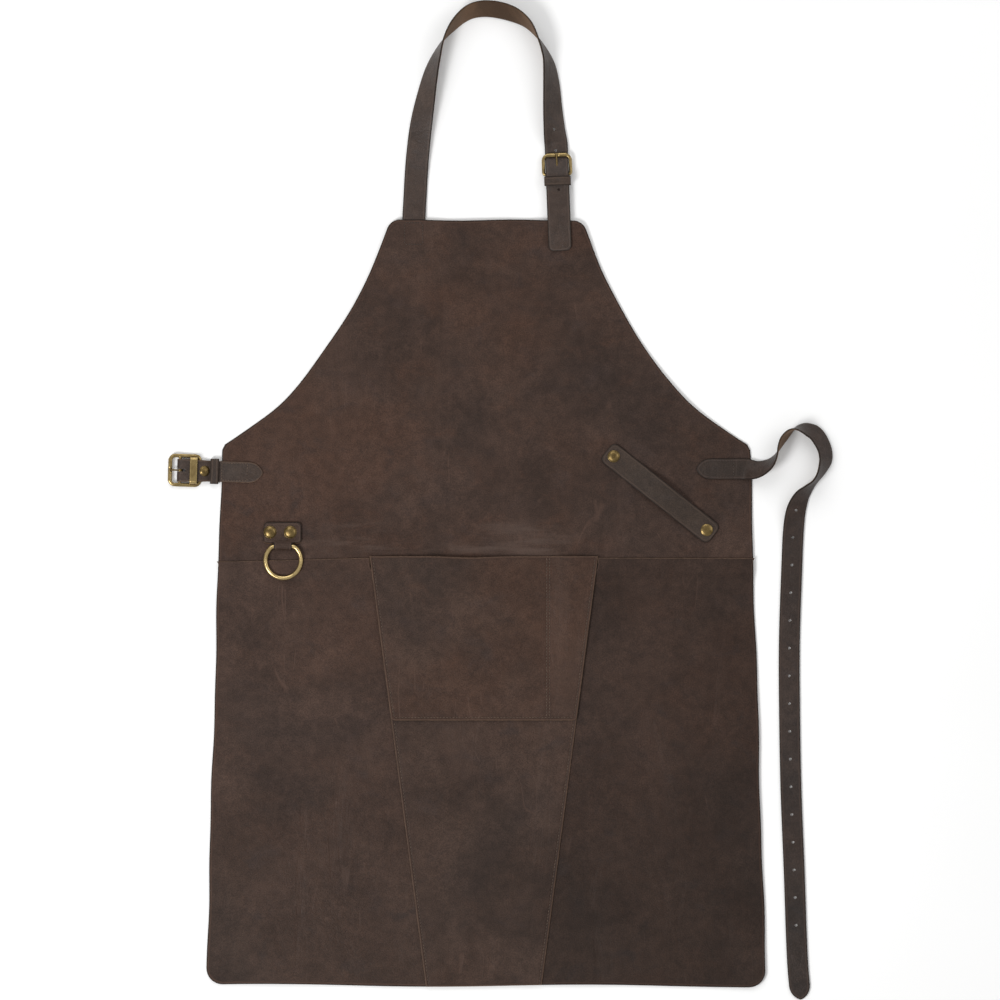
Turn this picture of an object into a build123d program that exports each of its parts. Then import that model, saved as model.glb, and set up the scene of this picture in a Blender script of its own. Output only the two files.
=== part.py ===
"""Leather welding apron, laid out flat with its front up.

Millimetres. X runs across the apron, Y from the hem to the neck loop, Z out of the front.
Z = 0 is the surface that the apron lies on, and the origin is the middle of the whole layout.
"""
import math
import os

from build123d import *

# ---- Leather ----
PANEL = 1.6                # thickness of the body panels, the pocket and the ring tab
STRAP = 2.0                # thickness of every strap and buckle tab
GLUE = 0.1                 # gap between two layers that are glued or riveted together
LOOP = 1.2                 # thickness of the two sliding leather keepers
LAP = 14.0                 # how far one panel runs under the next

# ---- Body ----
AXIS_X = -15.5             # the body's own centre line
NECK_Y = 308.0             # upper edge of the bib
HEM_Y = -534.0
NECK_HALF = 105.6          # half widths at the bib's upper edge, the waist corner and the hem
WAIST_HALF = 290.5
HEM_HALF = 308.0
WAIST_CORNER_Y = 60.0      # where the armhole meets the side edge
ARMHOLE = [(132, 242), (170.5, 175), (221, 110), (272.8, 70.4)]
NECK_CORNER, WAIST_CORNER, HEM_CORNER = 15.0, 13.0, 18.0
SEAM_Y = -63.5             # upper edge of the skirt panels beside the pocket
SEAM_OUTER_Y = -67.5       # the same edge at the apron's side
BIB_BOTTOM_Y = SEAM_Y - LAP
RAISED_FROM_Y = 276.0      # the bib lies over the strap ends from here to its upper edge
RISE_RUN = 12.0            # length of the slope where a panel climbs over another

# ---- Centre panel and pocket ----
CENTRE_TOP = (-143.5, 108.0)       # X of its left and right edge at the pocket's mouth
CENTRE_HEM = (-81.5, 46.0)         # and at the hem
MOUTH_Y = -61.8
POCKET_BOTTOM_Y = -242.6
POCKET_GAP = 4.8
POCKET_RIM = 9.0           # sewn rim round each compartment
DIVIDER_X = 52.8
DIVIDER_HALF = 4.5
POCKET_CORNER = 4.0

# ---- Straps and buckles ----
NECK_WIDTH = 26.0
WAIST_WIDTH = 23.0
NECK_BUCKLE = (63.0, 357.9)        # middle of the heel bar
NECK_TURN = -87.8                  # direction of the tab's sewn end, degrees from +X
UNDER_BIB_Z = 1.32         # the strap ends behind the bib lie this high, so a keeper passes under
WAIST_BUCKLE = (-352.0, 32.8)      # middle of the centre bar
WAIST_TURN = -1.9
WAIST_BAR_Z = 3.7
WAIST_TILT = 5.4                   # the frame's end bar is lower than its tip bar
WIRE = 1.6                 # radius of the buckle wire
CENTRE_BAR = 1.57          # radius of a bar that crosses the middle of a frame
FOLD = WIRE + 0.08         # inner radius of the leather fold round a bar
NECK_BAR_Z = UNDER_BIB_Z + STRAP + FOLD
PRONG = 1.15               # radius of a prong
PRONG_LOOP = 1.2           # wall of the prong's loop round its bar
PRONG_EYE = WIRE + 0.05    # inner radius of that loop
SLOT_HALF = 1.9            # half width of the slot that a prong leaves its tab through
SEAT = 0.1                 # room round a prong in the notch of its tip bar
TIP_BAR_WIDTH = 4.6        # the flattened bar that the prong rests on

# ---- Waist buckle, along its tab from the centre bar ----
WAIST_END_BAR = 22.2
WAIST_TIP_BAR = -11.4
WAIST_PRONG_TIP = (-12.6, 3.7)
WAIST_FRAME_WIDTH = 33.0
WAIST_FRAME_CORNER = 5.5
WAIST_TAB_TIP = 91.2
WAIST_RIVET = (26.0, 22.5)         # place along the tab, and slope
WAIST_KEEPER = (33.4, 42.6)
WAIST_BAND = (11.0, 19.1)          # metal band across the frame
BAND_WALL = 1.3
BILLET_ROOM = 2.6                  # height for the strap's free end above the tab
WAIST_TAB_HUMP = 5.45              # underside of the tab's upper layer at the end bar
WAIST_TOP_LAYER = [(0, WAIST_BAR_Z + FOLD), (22.7, WAIST_TAB_HUMP), (32.0, PANEL), (WAIST_TAB_TIP, PANEL)]
WAIST_LOWER_LAYER = [(0, WAIST_BAR_Z - FOLD - STRAP), (6, 0.05), (19, 3.35), (22.7, 3.4), (29.2, 0.7)]
WAIST_BOX_STITCH = (46, 74)
WAIST_BOX_HALF = 9.3

# ---- Neck buckle, along its tab from the heel bar ----
NECK_TIP_BAR = -22.1
NECK_PRONG_TIP = (-23.6, 2.5)
NECK_FRAME_WIDTH = 30.2
NECK_FRAME_CORNER = 2.4
NECK_TAB_WIDTH = 25.0
NECK_TAB_END = 78.0
NECK_RETURN_END = 27.0             # the folded layer ends here
NECK_KEEPER = (1.9, 12.0)
NECK_RIVET = 21.5
NECK_RETURN_Z = UNDER_BIB_Z + STRAP + GLUE
BILLET_OVER = NECK_BAR_Z + FOLD + STRAP + GLUE
NECK_LOWER_LAYER = [(0, UNDER_BIB_Z), (NECK_TAB_END, UNDER_BIB_Z)]
NECK_TOP_LAYER = [(0, NECK_BAR_Z + FOLD), (2, NECK_BAR_Z + FOLD), (15, NECK_RETURN_Z),
                  (NECK_RETURN_END, NECK_RETURN_Z)]

# ---- Routes of the long straps: x, y, lean, height of the lowest edge ----
NECK_ROUTE = [(-94.9, 280, 0, UNDER_BIB_Z), (-94.9, 296, 0, UNDER_BIB_Z), (-94.8, 309, 0, UNDER_BIB_Z),
              (-93.4, 335, 0, 0.4),
              (-92.2, 358, 3, 0), (-90.0, 385, 9, 0), (-86.8, 412, 18, 0), (-81.2, 444, 38, 0),
              (-75.3, 471, 55, 0), (-69.6, 488.5, 70, 0), (-62.6, 505, 88, 0), (-52.4, 520, 107, 0),
              (-40.5, 532, 119, 0), (-28.5, 538.5, 128, 0), (-11.2, 540.2, 132, 0), (11.9, 535, 128, 0),
              (29.5, 524.5, 110, 0), (41.5, 508.5, 90, 0), (51.0, 489, 72, 0), (54.4, 476, 59, 0),
              (56.6, 455.5, 46, 0), (57.9, 431, 36, 0), (59.8, 407, 22, 0)]
# Then, past the neck buckle's heel bar: distance, height of the underside.
NECK_BUCKLE_PART = [(-32, 0.7), (-26, 1.1), (-19, 1.1), (-2, BILLET_OVER), (2, BILLET_OVER), (15, 5.6),
                    (24, 5.5), (84, 5.5)]
NECK_HOLES = [(59.8, 407.7), (61.3, 384.5), (64.6, 341.4)]
NECK_TAIL_CORNER = 6.0

WAIST_ROUTE = [(258, 34.2, 0, PANEL), (270, 34.2, 2, PANEL), (278.5, 33.4, 24, PANEL), (287, 34.8, 45, 1.2),
               (297, 40.5, 66, 0.4), (303.8, 49.5, 86, 0), (307.5, 59, 99, 0), (312, 67.5, 107, 0),
               (318.6, 75, 102, 0), (325, 78.6, 86, 0), (332, 79, 66, 0), (338.5, 77.5, 53, 0),
               (347.6, 72.4, 45, 0), (356.5, 57, 48, 0), (358.2, 45.5, 52, 0), (356.4, 38.4, 59, 0),
               (352, 28.6, 72, 0), (345.8, 19.8, 78, 0), (338.4, 11.6, 64, 0), (331.2, 2.8, 43, 0),
               (325.6, -11.5, 22, 0), (322.9, -32, 6, 0), (321.3, -66, 0, 0), (318.4, -154, 0, 0),
               (318.5, -230, 0, 0), (320.1, -318, 0, 0), (323.6, -407, 0, 0), (327.3, -507, 0, 0),
               (331.0, -549.7, 0, 0)]
WAIST_SEWN_LENGTH = 43.4           # pointed end that is sewn on the bib
SEWN_BOX_STITCH = (229, 257)
SEWN_BOX_HALF = 9.0

# ---- Holes in the waist strap ----
HOLE = 1.5                 # radius
HOLE_PITCH = 30.5
HOLE_COUNT = 16
LAST_HOLE = 82.0           # from the strap's tip

# ---- Ring and its tab ----
RING_CENTRE = (-238.4, -66.4)
RING_RADIUS = 19.5         # to the middle of the wire
RING_WIRE = 2.5
RING_BAR_Y = -51.2         # the ring is flat where it passes through the fold
RING_FOLD = RING_WIRE + 0.08
TAB_PLATE = (41.4, 23.8)
TAB_PLATE_X = -239.2
TAB_PLATE_TOP_Y = -24.5
TAB_NECK_HALF = 10.4
RING_RIVETS = [(-252.9, -35.4), (-230.7, -35.4)]

# ---- Towel strap ----
TOWEL_ENDS = [(125.1, 48.0), (227.5, -33.0)]   # its two rivets
TOWEL_WIDTH = 25.8
TOWEL_BEYOND = 10.0        # leather past each rivet
TOWEL_RISE = 5.4

# ---- Rivets ----
CAP_RADIUS = 6.6
RING_CAP_RADIUS = 7.0
WAIST_CAP_RADIUS = 6.0
CAP_HEIGHT = 2.8
SHANK = 1.8
WASHER = 0.6               # thickness of the disc at the back
WASHER_RADIUS = 4.5
SMALL_WASHER = 2.6         # radius of the waist rivet's disc
WAIST_STACK = WASHER + 2 * STRAP + GLUE

# ---- Thread ----
THREAD_WIDTH = 0.9
THREAD_HEIGHT = 0.3
STITCH_INSET = 3.2
DIVIDER_ROWS = (-1.6, 1.6)
NECK_BOX_STITCH = (281, 304.5)     # Y of the boxes that hold the neck strap and the neck tab
NECK_BOX_HALF = 10.0

TINY = 0.05                # running room round a shank
WIDE = 1000.0


# ---------------------------------------------------------------- helpers

def closed(points):
    """Face inside a polygon."""
    return make_face(Polyline(*points, close=True))


def band(points, thickness):
    """Side view of a sheet: its underside, and the same line one thickness higher."""
    upper = [(along, z + thickness) for along, z in reversed(points)]
    return closed(points + upper)


def slab(points, thickness):
    """Sheet that is uniform across X, from the (Y, Z) line of its underside."""
    return extrude(Plane.YZ * band(points, thickness), amount=WIDE, both=True)


def strip(points, thickness, width):
    """Strap that is uniform across Y, from the (X, Z) line of its underside."""
    side = Plane.XZ * band(points, thickness)
    return extrude(side, amount=width / 2, both=True)


def prism(face, bottom, height):
    return Pos(0, 0, bottom) * extrude(face, amount=height)


def box(x_range, y_range, z_range):
    spans = (x_range, y_range, z_range)
    size = [high - low for low, high in spans]
    middle = [(high + low) / 2 for low, high in spans]
    return Pos(*middle) * Box(*size)


def rod(start, end, radius):
    """Round rod between two points."""
    line = Line(start, end)
    return extrude(Plane(start, z_dir=line % 0) * Circle(radius), amount=line.length)


def thread(points, z, loop=False):
    """Line of sewing thread lying on a surface at height z."""
    path = Polyline(*points, close=loop)
    return prism(trace(path, line_width=THREAD_WIDTH), z, THREAD_HEIGHT)


def single(shape):
    """The one solid of a shape that was cut from others."""
    return shape.solids().sort_by(lambda piece: piece.volume)[-1]


# ---------------------------------------------------------------- ribbons

def smooth(stations, step):
    """Smooth curve through stations of (x, y, lean, rest), sampled about every step."""
    gaps = [math.dist(a[:2], b[:2]) for a, b in zip(stations, stations[1:])]

    def slope(index):
        low, high = max(index - 1, 0), min(index + 1, len(gaps))
        run = sum(gaps[low:high])
        return [(b - a) / run for a, b in zip(stations[low], stations[high])]

    samples = []
    for index, gap in enumerate(gaps):
        count = max(1, round(gap / step))
        ends = stations[index], stations[index + 1], slope(index), slope(index + 1)
        for part in range(count):
            t = part / count
            weights = (2 * t**3 - 3 * t**2 + 1, 3 * t**2 - 2 * t**3,
                       gap * (t**3 - 2 * t**2 + t), gap * (t**3 - t**2))
            samples.append([sum(w * v for w, v in zip(weights, values)) for values in zip(*ends)])
    samples.append(list(stations[-1]))
    return samples


def ribbon(stations, width, step=12.0):
    """Flat strap along a route.

    lean is 0 where it lies flat, 90 on its left edge, and more where it leans past that.
    rest is the height of its lowest edge.
    """
    samples = smooth(stations, step)
    sections = []
    for index, (x, y, lean, rest) in enumerate(samples):
        before, after = samples[max(index - 1, 0)], samples[min(index + 1, len(samples) - 1)]
        heading = math.atan2(after[1] - before[1], after[0] - before[0])
        tilt = math.radians(lean)
        height = max(rest, 0) + (width * abs(math.sin(tilt)) + STRAP * abs(math.cos(tilt))) / 2
        right = Vector(math.sin(heading), -math.cos(heading), 0)
        across = right * math.cos(tilt) + Vector(0, 0, math.sin(tilt))
        along = Vector(math.cos(heading), math.sin(heading), 0)
        plane = Plane((x, y, height), x_dir=across, z_dir=along)
        sections.append(plane * Rectangle(width, STRAP))
    return loft(sections, ruled=True)


# ---------------------------------------------------------------- hardware

def dome(radius, height):
    """Rivet cap with its flat face at Z = 0."""
    ball = (radius**2 + height**2) / (2 * height)
    whole = Pos(0, 0, height - ball) * Sphere(ball)
    return whole & box((-radius, radius), (-radius, radius), (0, height))


def rivet(stack, washer_radius=WASHER_RADIUS, cap_radius=CAP_RADIUS):
    """Post through a stack of leather from Z = 0, and the domed cap on top of it."""
    into_cap = CAP_HEIGHT * 0.5
    shank = Pos(0, 0, (stack + into_cap) / 2) * Cylinder(SHANK, stack + into_cap)
    post = shank + Pos(0, 0, WASHER / 2) * Cylinder(washer_radius, WASHER)
    cap = Pos(0, 0, stack) * dome(cap_radius, CAP_HEIGHT)
    return post, cap - Pos(0, 0, stack) * Cylinder(SHANK + TINY, 2 * into_cap + TINY)


def rivet_hole(stack, washer_radius=WASHER_RADIUS):
    """Room that a rivet's post takes in the leather."""
    shank = Pos(0, 0, stack / 2) * Cylinder(SHANK + TINY, stack + 2)
    return shank + Pos(0, 0, WASHER / 2) * Cylinder(washer_radius + TINY, WASHER + TINY)


def buckle_frame(left, right, width, corner, bar_x):
    """Rounded wire rectangle in Z = 0, with a flat tip bar at its left and a bar at bar_x."""
    half = width / 2
    corner_arc = revolve(Plane.XZ * Pos(corner, 0) * Circle(WIRE), Axis.Z, 90)
    frame = rod((right, corner - half, 0), (right, half - corner, 0), WIRE)
    frame += rod((left, corner - half, 0), (left, half - corner, 0), WIRE)
    for y in (-half, half):
        frame += rod((left + corner, y, 0), (right - corner, y, 0), WIRE)
    for turn, x, y in ((0, right, half), (90, left, half), (180, left, -half), (270, right, -half)):
        inward = (math.copysign(corner, left + right - 2 * x), math.copysign(corner, -y))
        frame += Pos(x + inward[0], y + inward[1], 0) * Rot(0, 0, turn) * corner_arc
    frame += Pos(left, 0, 0) * Box(TIP_BAR_WIDTH, width - 2 * corner - 1, 2 * WIRE - 0.4)
    if left < bar_x < right:
        frame += rod((bar_x, -half, 0), (bar_x, half, 0), CENTRE_BAR)
    return frame


def tongue(tip, radius):
    """Round tongue of a prong, from the rim of its loop to tip (x, z)."""
    root = (-(PRONG_EYE + PRONG_LOOP * 0.7), 0, 0.5)
    end = (tip[0], 0, tip[1])
    return rod(root, end, radius) + Pos(*end) * Sphere(radius)


def prong(tip):
    """Prong whose loop turns on the Y axis, with its tongue reaching to tip (x, z)."""
    loop = Cylinder(PRONG_EYE + PRONG_LOOP, 2 * PRONG) - Cylinder(PRONG_EYE, 4 * PRONG)
    loop = Rot(90, 0, 0) * loop
    return loop + (tongue(tip, PRONG) - Rot(90, 0, 0) * Cylinder(PRONG_EYE, 4 * PRONG))


def keeper(x_range, width, z_range, wall):
    """Band round a strap: its opening is width by z_range."""
    height = z_range[1] - z_range[0]
    middle = (z_range[0] + z_range[1]) / 2
    outer = RectangleRounded(width + 2 * wall, height + 2 * wall, wall + 0.6)
    ring = Plane.YZ * (outer - RectangleRounded(width, height, 0.6))
    return Pos(x_range[0], 0, middle) * extrude(ring, amount=x_range[1] - x_range[0])


def fold(bar_z):
    """Half turn of strap round a bar at (0, bar_z), open to the right."""
    ring = Circle(FOLD + STRAP) - Circle(FOLD)
    half = ring & Pos(-10, 0) * Rectangle(20, 20)
    return Pos(0, 0, bar_z) * (Plane.XZ * half)


def folded_tab(bar_z, lower, upper, width, outline):
    """Strap folded round a bar, from the (X, Z) undersides of its lower and upper layer."""
    body = extrude(fold(bar_z), amount=width / 2, both=True)
    body += strip(lower, STRAP, width)
    body += strip(upper, STRAP, width)
    body &= prism(outline, -1, 40)
    slot_end = FOLD + STRAP + 2.6
    return body - box((-10, slot_end), (-SLOT_HALF, SLOT_HALF), (-1, bar_z + 4.5))


def pointed(length_from, tip_x, width, point=17.0):
    """Strap end in plan: straight edges and a rounded point at tip_x."""
    half = width / 2
    start = tip_x - point
    upper = Spline((start, half), (tip_x, 0), tangents=[(1, 0), (0.25, -1)])
    lower = Spline((tip_x, 0), (start, -half), tangents=[(-0.25, -1), (-1, 0)])
    sides = [Line((length_from, half), (start, half)), Line((start, -half), (length_from, -half))]
    return make_face([sides[0], upper, lower, sides[1], Line((length_from, -half), (length_from, half))])


# ---------------------------------------------------------------- outlines

def body_outline():
    """Whole front: straight neck edge, hollowed armholes, sides that flare to the hem."""
    corner = (WAIST_HALF, WAIST_CORNER_Y)
    armhole = Spline((NECK_HALF, NECK_Y), *ARMHOLE, corner)
    edges = [Line((0, NECK_Y), (NECK_HALF, NECK_Y)), armhole]
    edges += [Line(corner, (HEM_HALF, HEM_Y)), Line((HEM_HALF, HEM_Y), (0, HEM_Y))]
    half = make_face(edges + [Line((0, HEM_Y), (0, NECK_Y))])
    whole = (half + mirror(half, Plane.YZ)).face()
    rows = whole.vertices().group_by(Axis.Y)
    whole = fillet([v for v in rows[0] if abs(v.X) > 1], HEM_CORNER)
    for y, radius in ((WAIST_CORNER_Y, WAIST_CORNER), (NECK_Y, NECK_CORNER)):
        corners = [v for v in whole.vertices() if abs(v.Y - y) < 0.1 and abs(v.X) > NECK_HALF - 1]
        whole = fillet(corners, radius)
    return Pos(AXIS_X, 0) * whole


def centre_x(side, y):
    """X of the centre panel's left (0) or right (1) edge at height y."""
    part = (MOUTH_Y - y) / (MOUTH_Y - HEM_Y)
    return CENTRE_TOP[side] + part * (CENTRE_HEM[side] - CENTRE_TOP[side])


def centre_outline(top, bottom, inset=0.0):
    """The centre panel's taper between two heights, its slanted edges moved in by inset."""
    return closed([(centre_x(0, bottom) + inset, bottom), (centre_x(1, bottom) - inset, bottom),
                   (centre_x(1, top) - inset, top), (centre_x(0, top) + inset, top)])


# ---------------------------------------------------------------- panels

def bib_panel():
    """Upper part: raised over the strap ends, its lower strip running under the skirt."""
    raised = UNDER_BIB_Z + STRAP
    line = [(BIB_BOTTOM_Y, 0), (RAISED_FROM_Y - RISE_RUN, 0), (RAISED_FROM_Y, raised), (NECK_Y, raised)]
    outline = body_outline() & Pos(0, (BIB_BOTTOM_Y + NECK_Y) / 2) * Rectangle(WIDE, NECK_Y - BIB_BOTTOM_Y)
    panel = extrude(outline, amount=20) & slab(line, PANEL)
    for x, y in RING_RIVETS + TOWEL_ENDS:
        panel -= Pos(x, y, 0) * rivet_hole(PANEL)
    return single(panel)


def skirt_side_panel(side):
    """Side of the skirt, climbing over the bib's lower strip. side is 0 left, 1 right."""
    sign = (-1, 1)[side]
    relief = SEAM_Y - LAP - RISE_RUN - 3
    outer = sign * 340
    inner_gap = sign * 0.3
    under = -sign * LAP
    corners = [(centre_x(side, SEAM_Y) + inner_gap, SEAM_Y), (AXIS_X + sign * 294, SEAM_OUTER_Y),
               (outer, SEAM_OUTER_Y - 0.6), (outer, HEM_Y - 5), (centre_x(side, HEM_Y) + under, HEM_Y - 5),
               (centre_x(side, relief) + under, relief), (centre_x(side, relief) + inner_gap, relief)]
    line = [(HEM_Y - 5, 0), (BIB_BOTTOM_Y - RISE_RUN, 0), (BIB_BOTTOM_Y - 0.5, PANEL), (SEAM_Y + 5, PANEL)]
    return single(extrude(body_outline() & closed(corners), amount=20) & slab(line, PANEL))


def skirt_centre_panel():
    """Tapered middle of the skirt: its long edges lie on the side panels."""
    outline = centre_outline(MOUTH_Y - 5, HEM_Y)
    return prism(outline, PANEL, PANEL)


def compartments():
    """Plan of the pocket's two rooms, open upwards past the mouth."""
    top, bottom = MOUTH_Y + 20, POCKET_BOTTOM_Y + POCKET_RIM
    whole = centre_outline(top, bottom, POCKET_RIM)
    left = whole & Pos(DIVIDER_X - DIVIDER_HALF - WIDE / 2, 0) * Rectangle(WIDE, WIDE)
    right = whole & Pos(DIVIDER_X + DIVIDER_HALF + WIDE / 2, 0) * Rectangle(WIDE, WIDE)
    return left.face(), right.face()


def centre_pocket():
    """Pocket front: a sewn rim, and two rooms that stand off the panel behind them."""
    base = 2 * PANEL
    rim = centre_outline(MOUTH_Y, POCKET_BOTTOM_Y)
    corners = rim.vertices().group_by(Axis.Y)[0]
    pocket = prism(fillet(corners, POCKET_CORNER), base, PANEL)
    rooms = compartments()
    for room in rooms:
        pocket += Pos(0, 0, base + PANEL) * extrude(room, amount=POCKET_GAP, taper=30)
    for room in rooms:
        pocket -= Pos(0, 0, base) * extrude(offset(room, -PANEL / 2), amount=POCKET_GAP, taper=30)
    return single(pocket - box((-WIDE, WIDE), (MOUTH_Y, 0), (0, 40)))


# ---------------------------------------------------------------- ring

def ring_bar_z():
    """Height of the ring's flat bar inside its fold."""
    return 2 * PANEL + RING_FOLD


def tool_ring():
    """Round ring whose hidden top is a straight bar in the fold."""
    rise = RING_BAR_Y - RING_CENTRE[1]
    half = math.sqrt(RING_RADIUS**2 - rise**2)
    bow = ThreePointArc((half, rise), (0, -RING_RADIUS), (-half, rise))
    outline = make_face([Line((-half, rise), (half, rise)), bow])
    path = fillet(outline.vertices(), 4.0).face().outer_wire()
    ring = sweep(Plane(path @ 0, z_dir=path % 0) * Circle(RING_WIRE), path=path)
    return Pos(*RING_CENTRE, ring_bar_z()) * ring


def ring_tab():
    """Leather plate with a narrow neck folded round the ring and a second layer behind."""
    back, front = PANEL, 2 * PANEL + GLUE
    bar_z = ring_bar_z()
    length = TAB_PLATE[1]
    plate = RectangleRounded(TAB_PLATE[0], length, 4.5)
    middle = Pos(TAB_PLATE_X, TAB_PLATE_TOP_Y - length / 2)
    tab = prism(middle * plate, back, PANEL) + prism(middle * plate, front, PANEL)
    climb = [(RING_BAR_Y, bar_z + RING_FOLD), (RING_BAR_Y + 1.7, bar_z + 2.3), (RING_BAR_Y + 8.2, front),
             (RING_BAR_Y + 15, front)]
    neck = slab(climb, PANEL) + slab([(RING_BAR_Y, back), (RING_BAR_Y + 15, back)], PANEL)
    half_ring = (Circle(RING_FOLD + PANEL) - Circle(RING_FOLD)) & Pos(-10, 0) * Rectangle(20, 20)
    neck += extrude(Plane.YZ * Pos(RING_BAR_Y, bar_z) * half_ring, amount=WIDE, both=True)
    x = RING_CENTRE[0]
    tab += neck & box((x - TAB_NECK_HALF, x + TAB_NECK_HALF), (-80, -20), (0, 30))
    for rivet_x, rivet_y in RING_RIVETS:
        tab -= Pos(rivet_x, rivet_y, 5) * Cylinder(SHANK + TINY, 20)
    return single(tab)


# ---------------------------------------------------------------- towel strap

def towel_place():
    """Middle of the towel strap, turned along it."""
    (x0, y0), (x1, y1) = TOWEL_ENDS
    angle = math.degrees(math.atan2(y1 - y0, x1 - x0))
    return Pos((x0 + x1) / 2, (y0 + y1) / 2) * Rot(0, 0, angle)


def towel_strap():
    """Strap riveted flat at both ends and bowed up between them."""
    span = math.dist(*TOWEL_ENDS)
    half = span / 2 + TOWEL_BEYOND
    flat = span / 2 - 9
    bow = [(x, PANEL + TOWEL_RISE * (1 + math.cos(math.pi * x / flat)) / 2)
           for x in [flat * step / 8 for step in range(-8, 9)]]
    body = strip([(-half, PANEL)] + bow + [(half, PANEL)], STRAP, TOWEL_WIDTH)
    body &= prism(RectangleRounded(2 * half, TOWEL_WIDTH, 7.0), 0, 20)
    for x in (-span / 2, span / 2):
        body -= Pos(x, 0, 5) * Cylinder(SHANK + TINY, 20)
    return towel_place() * single(body)


# ---------------------------------------------------------------- waist buckle

def waist_place():
    return Pos(*WAIST_BUCKLE) * Rot(0, 0, WAIST_TURN)


def waist_rivet_place():
    """Middle of the sloping rivet, on the underside of the tab's lower layer."""
    x, slope = WAIST_RIVET
    (x0, z0), (x1, z1) = WAIST_LOWER_LAYER[-2:]
    z = z0 + (x - x0) * (z1 - z0) / (x1 - x0)
    return Pos(x, 0, z) * Rot(0, slope, 0) * Pos(0, 0, -WASHER)


def waist_tab():
    outline = pointed(-10, WAIST_TAB_TIP, WAIST_WIDTH)
    tab = folded_tab(WAIST_BAR_Z, WAIST_LOWER_LAYER, WAIST_TOP_LAYER, WAIST_WIDTH, outline)
    post, cap = rivet(WAIST_STACK, SMALL_WASHER, WAIST_CAP_RADIUS)
    tab -= waist_rivet_place() * (Pos(0, 0, 3) * Cylinder(SHANK + TINY, 12))
    tab -= waist_rivet_place() * (post + cap)
    return waist_place() * single(tab)


def waist_frame_place():
    return Pos(0, 0, WAIST_BAR_Z) * Rot(0, WAIST_TILT, 0)


def waist_frame():
    frame = buckle_frame(WAIST_TIP_BAR, WAIST_END_BAR, WAIST_FRAME_WIDTH, WAIST_FRAME_CORNER, 0)
    seat = Pos(0, 0, WAIST_BAR_Z) * tongue(WAIST_PRONG_TIP, PRONG + SEAT)
    return waist_frame_place() * frame - seat


def waist_band():
    """Metal keeper: an arch over the tab that stands on the frame's two sides."""
    top = WAIST_TAB_HUMP + STRAP + BILLET_ROOM
    arch = keeper(WAIST_BAND, WAIST_FRAME_WIDTH - 6, (-6, top), BAND_WALL)
    arch = arch & box((0, 40), (-30, 30), (1.6, 30))
    return arch - waist_frame()


def waist_keeper():
    return keeper(WAIST_KEEPER, WAIST_WIDTH + 2.5, (PANEL - 0.1, PANEL + STRAP + BILLET_ROOM), LOOP)


# ---------------------------------------------------------------- neck buckle

def neck_place():
    return Pos(*NECK_BUCKLE) * Rot(0, 0, NECK_TURN)


def neck_tab():
    outline = Pos(NECK_TAB_END / 2 - 5, 0) * Rectangle(NECK_TAB_END + 10, NECK_TAB_WIDTH)
    tab = folded_tab(NECK_BAR_Z, NECK_LOWER_LAYER, NECK_TOP_LAYER, NECK_TAB_WIDTH, outline)
    tab -= Pos(NECK_RIVET, 0, UNDER_BIB_Z) * rivet_hole(2 * STRAP + GLUE)
    return neck_place() * single(tab)


def neck_tab_x():
    """X of the tab where the bib is sewn over it."""
    along = NECK_BUCKLE[1] - sum(NECK_BOX_STITCH) / 2
    return NECK_BUCKLE[0] + along / math.tan(math.radians(-NECK_TURN))


def neck_rivet():
    """Flat rivet that closes the tab behind the buckle."""
    stack = 2 * STRAP + GLUE
    post = Pos(0, 0, stack / 2) * Cylinder(SHANK, stack)
    post += Pos(0, 0, WASHER / 2) * Cylinder(WASHER_RADIUS, WASHER)
    return neck_place() * (Pos(NECK_RIVET, 0, UNDER_BIB_Z) * post)


def neck_frame():
    frame = buckle_frame(NECK_TIP_BAR, 0, NECK_FRAME_WIDTH, NECK_FRAME_CORNER, 0)
    frame -= tongue(NECK_PRONG_TIP, PRONG + SEAT)
    return neck_place() * (Pos(0, 0, NECK_BAR_Z) * frame)


def neck_keeper():
    top = BILLET_OVER + STRAP + 0.2
    return neck_place() * keeper(NECK_KEEPER, NECK_WIDTH + 0.8, (UNDER_BIB_Z - 0.08, top), LOOP)


def neck_prong():
    return Pos(0, 0, NECK_BAR_Z) * prong(NECK_PRONG_TIP)


# ---------------------------------------------------------------- long straps

def neck_strap():
    """From behind the bib round the loop, through the buckle, and down over the bib."""
    route = list(NECK_ROUTE)
    place = neck_place()
    for along, height in NECK_BUCKLE_PART:
        spot = (place * Pos(along, 0, 0)).position
        route.append((spot.X, spot.Y, 0, height))
    strap = ribbon(route, NECK_WIDTH)
    strap -= place * neck_prong_room()
    end_x = NECK_BUCKLE_PART[-1][0]
    tail = Pos(end_x - 50, 0) * RectangleRounded(100, NECK_WIDTH + 0.4, NECK_TAIL_CORNER)
    for x, y in NECK_HOLES:
        strap -= Pos(x, y, 5) * Cylinder(HOLE, 30)
    return single(strap - place * beyond(tail, end_x))


def beyond(tail, end_x, length=20.0):
    """What lies outside a strap's shaped end, over the last length of its own X axis."""
    zone = Pos(end_x - length / 2 + 1, 0) * Rectangle(length + 2, 60)
    return prism(zone - tail, -1, 60)


def neck_prong_room():
    """Slot in the strap for the prong, as wide as its small movement needs."""
    reach = tongue(NECK_PRONG_TIP, PRONG + 0.5)
    for turn in (2, 4, 6):
        reach += Rot(0, turn, 0) * tongue(NECK_PRONG_TIP, PRONG + 0.5)
    return Pos(0, 0, NECK_BAR_Z) * reach


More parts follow.
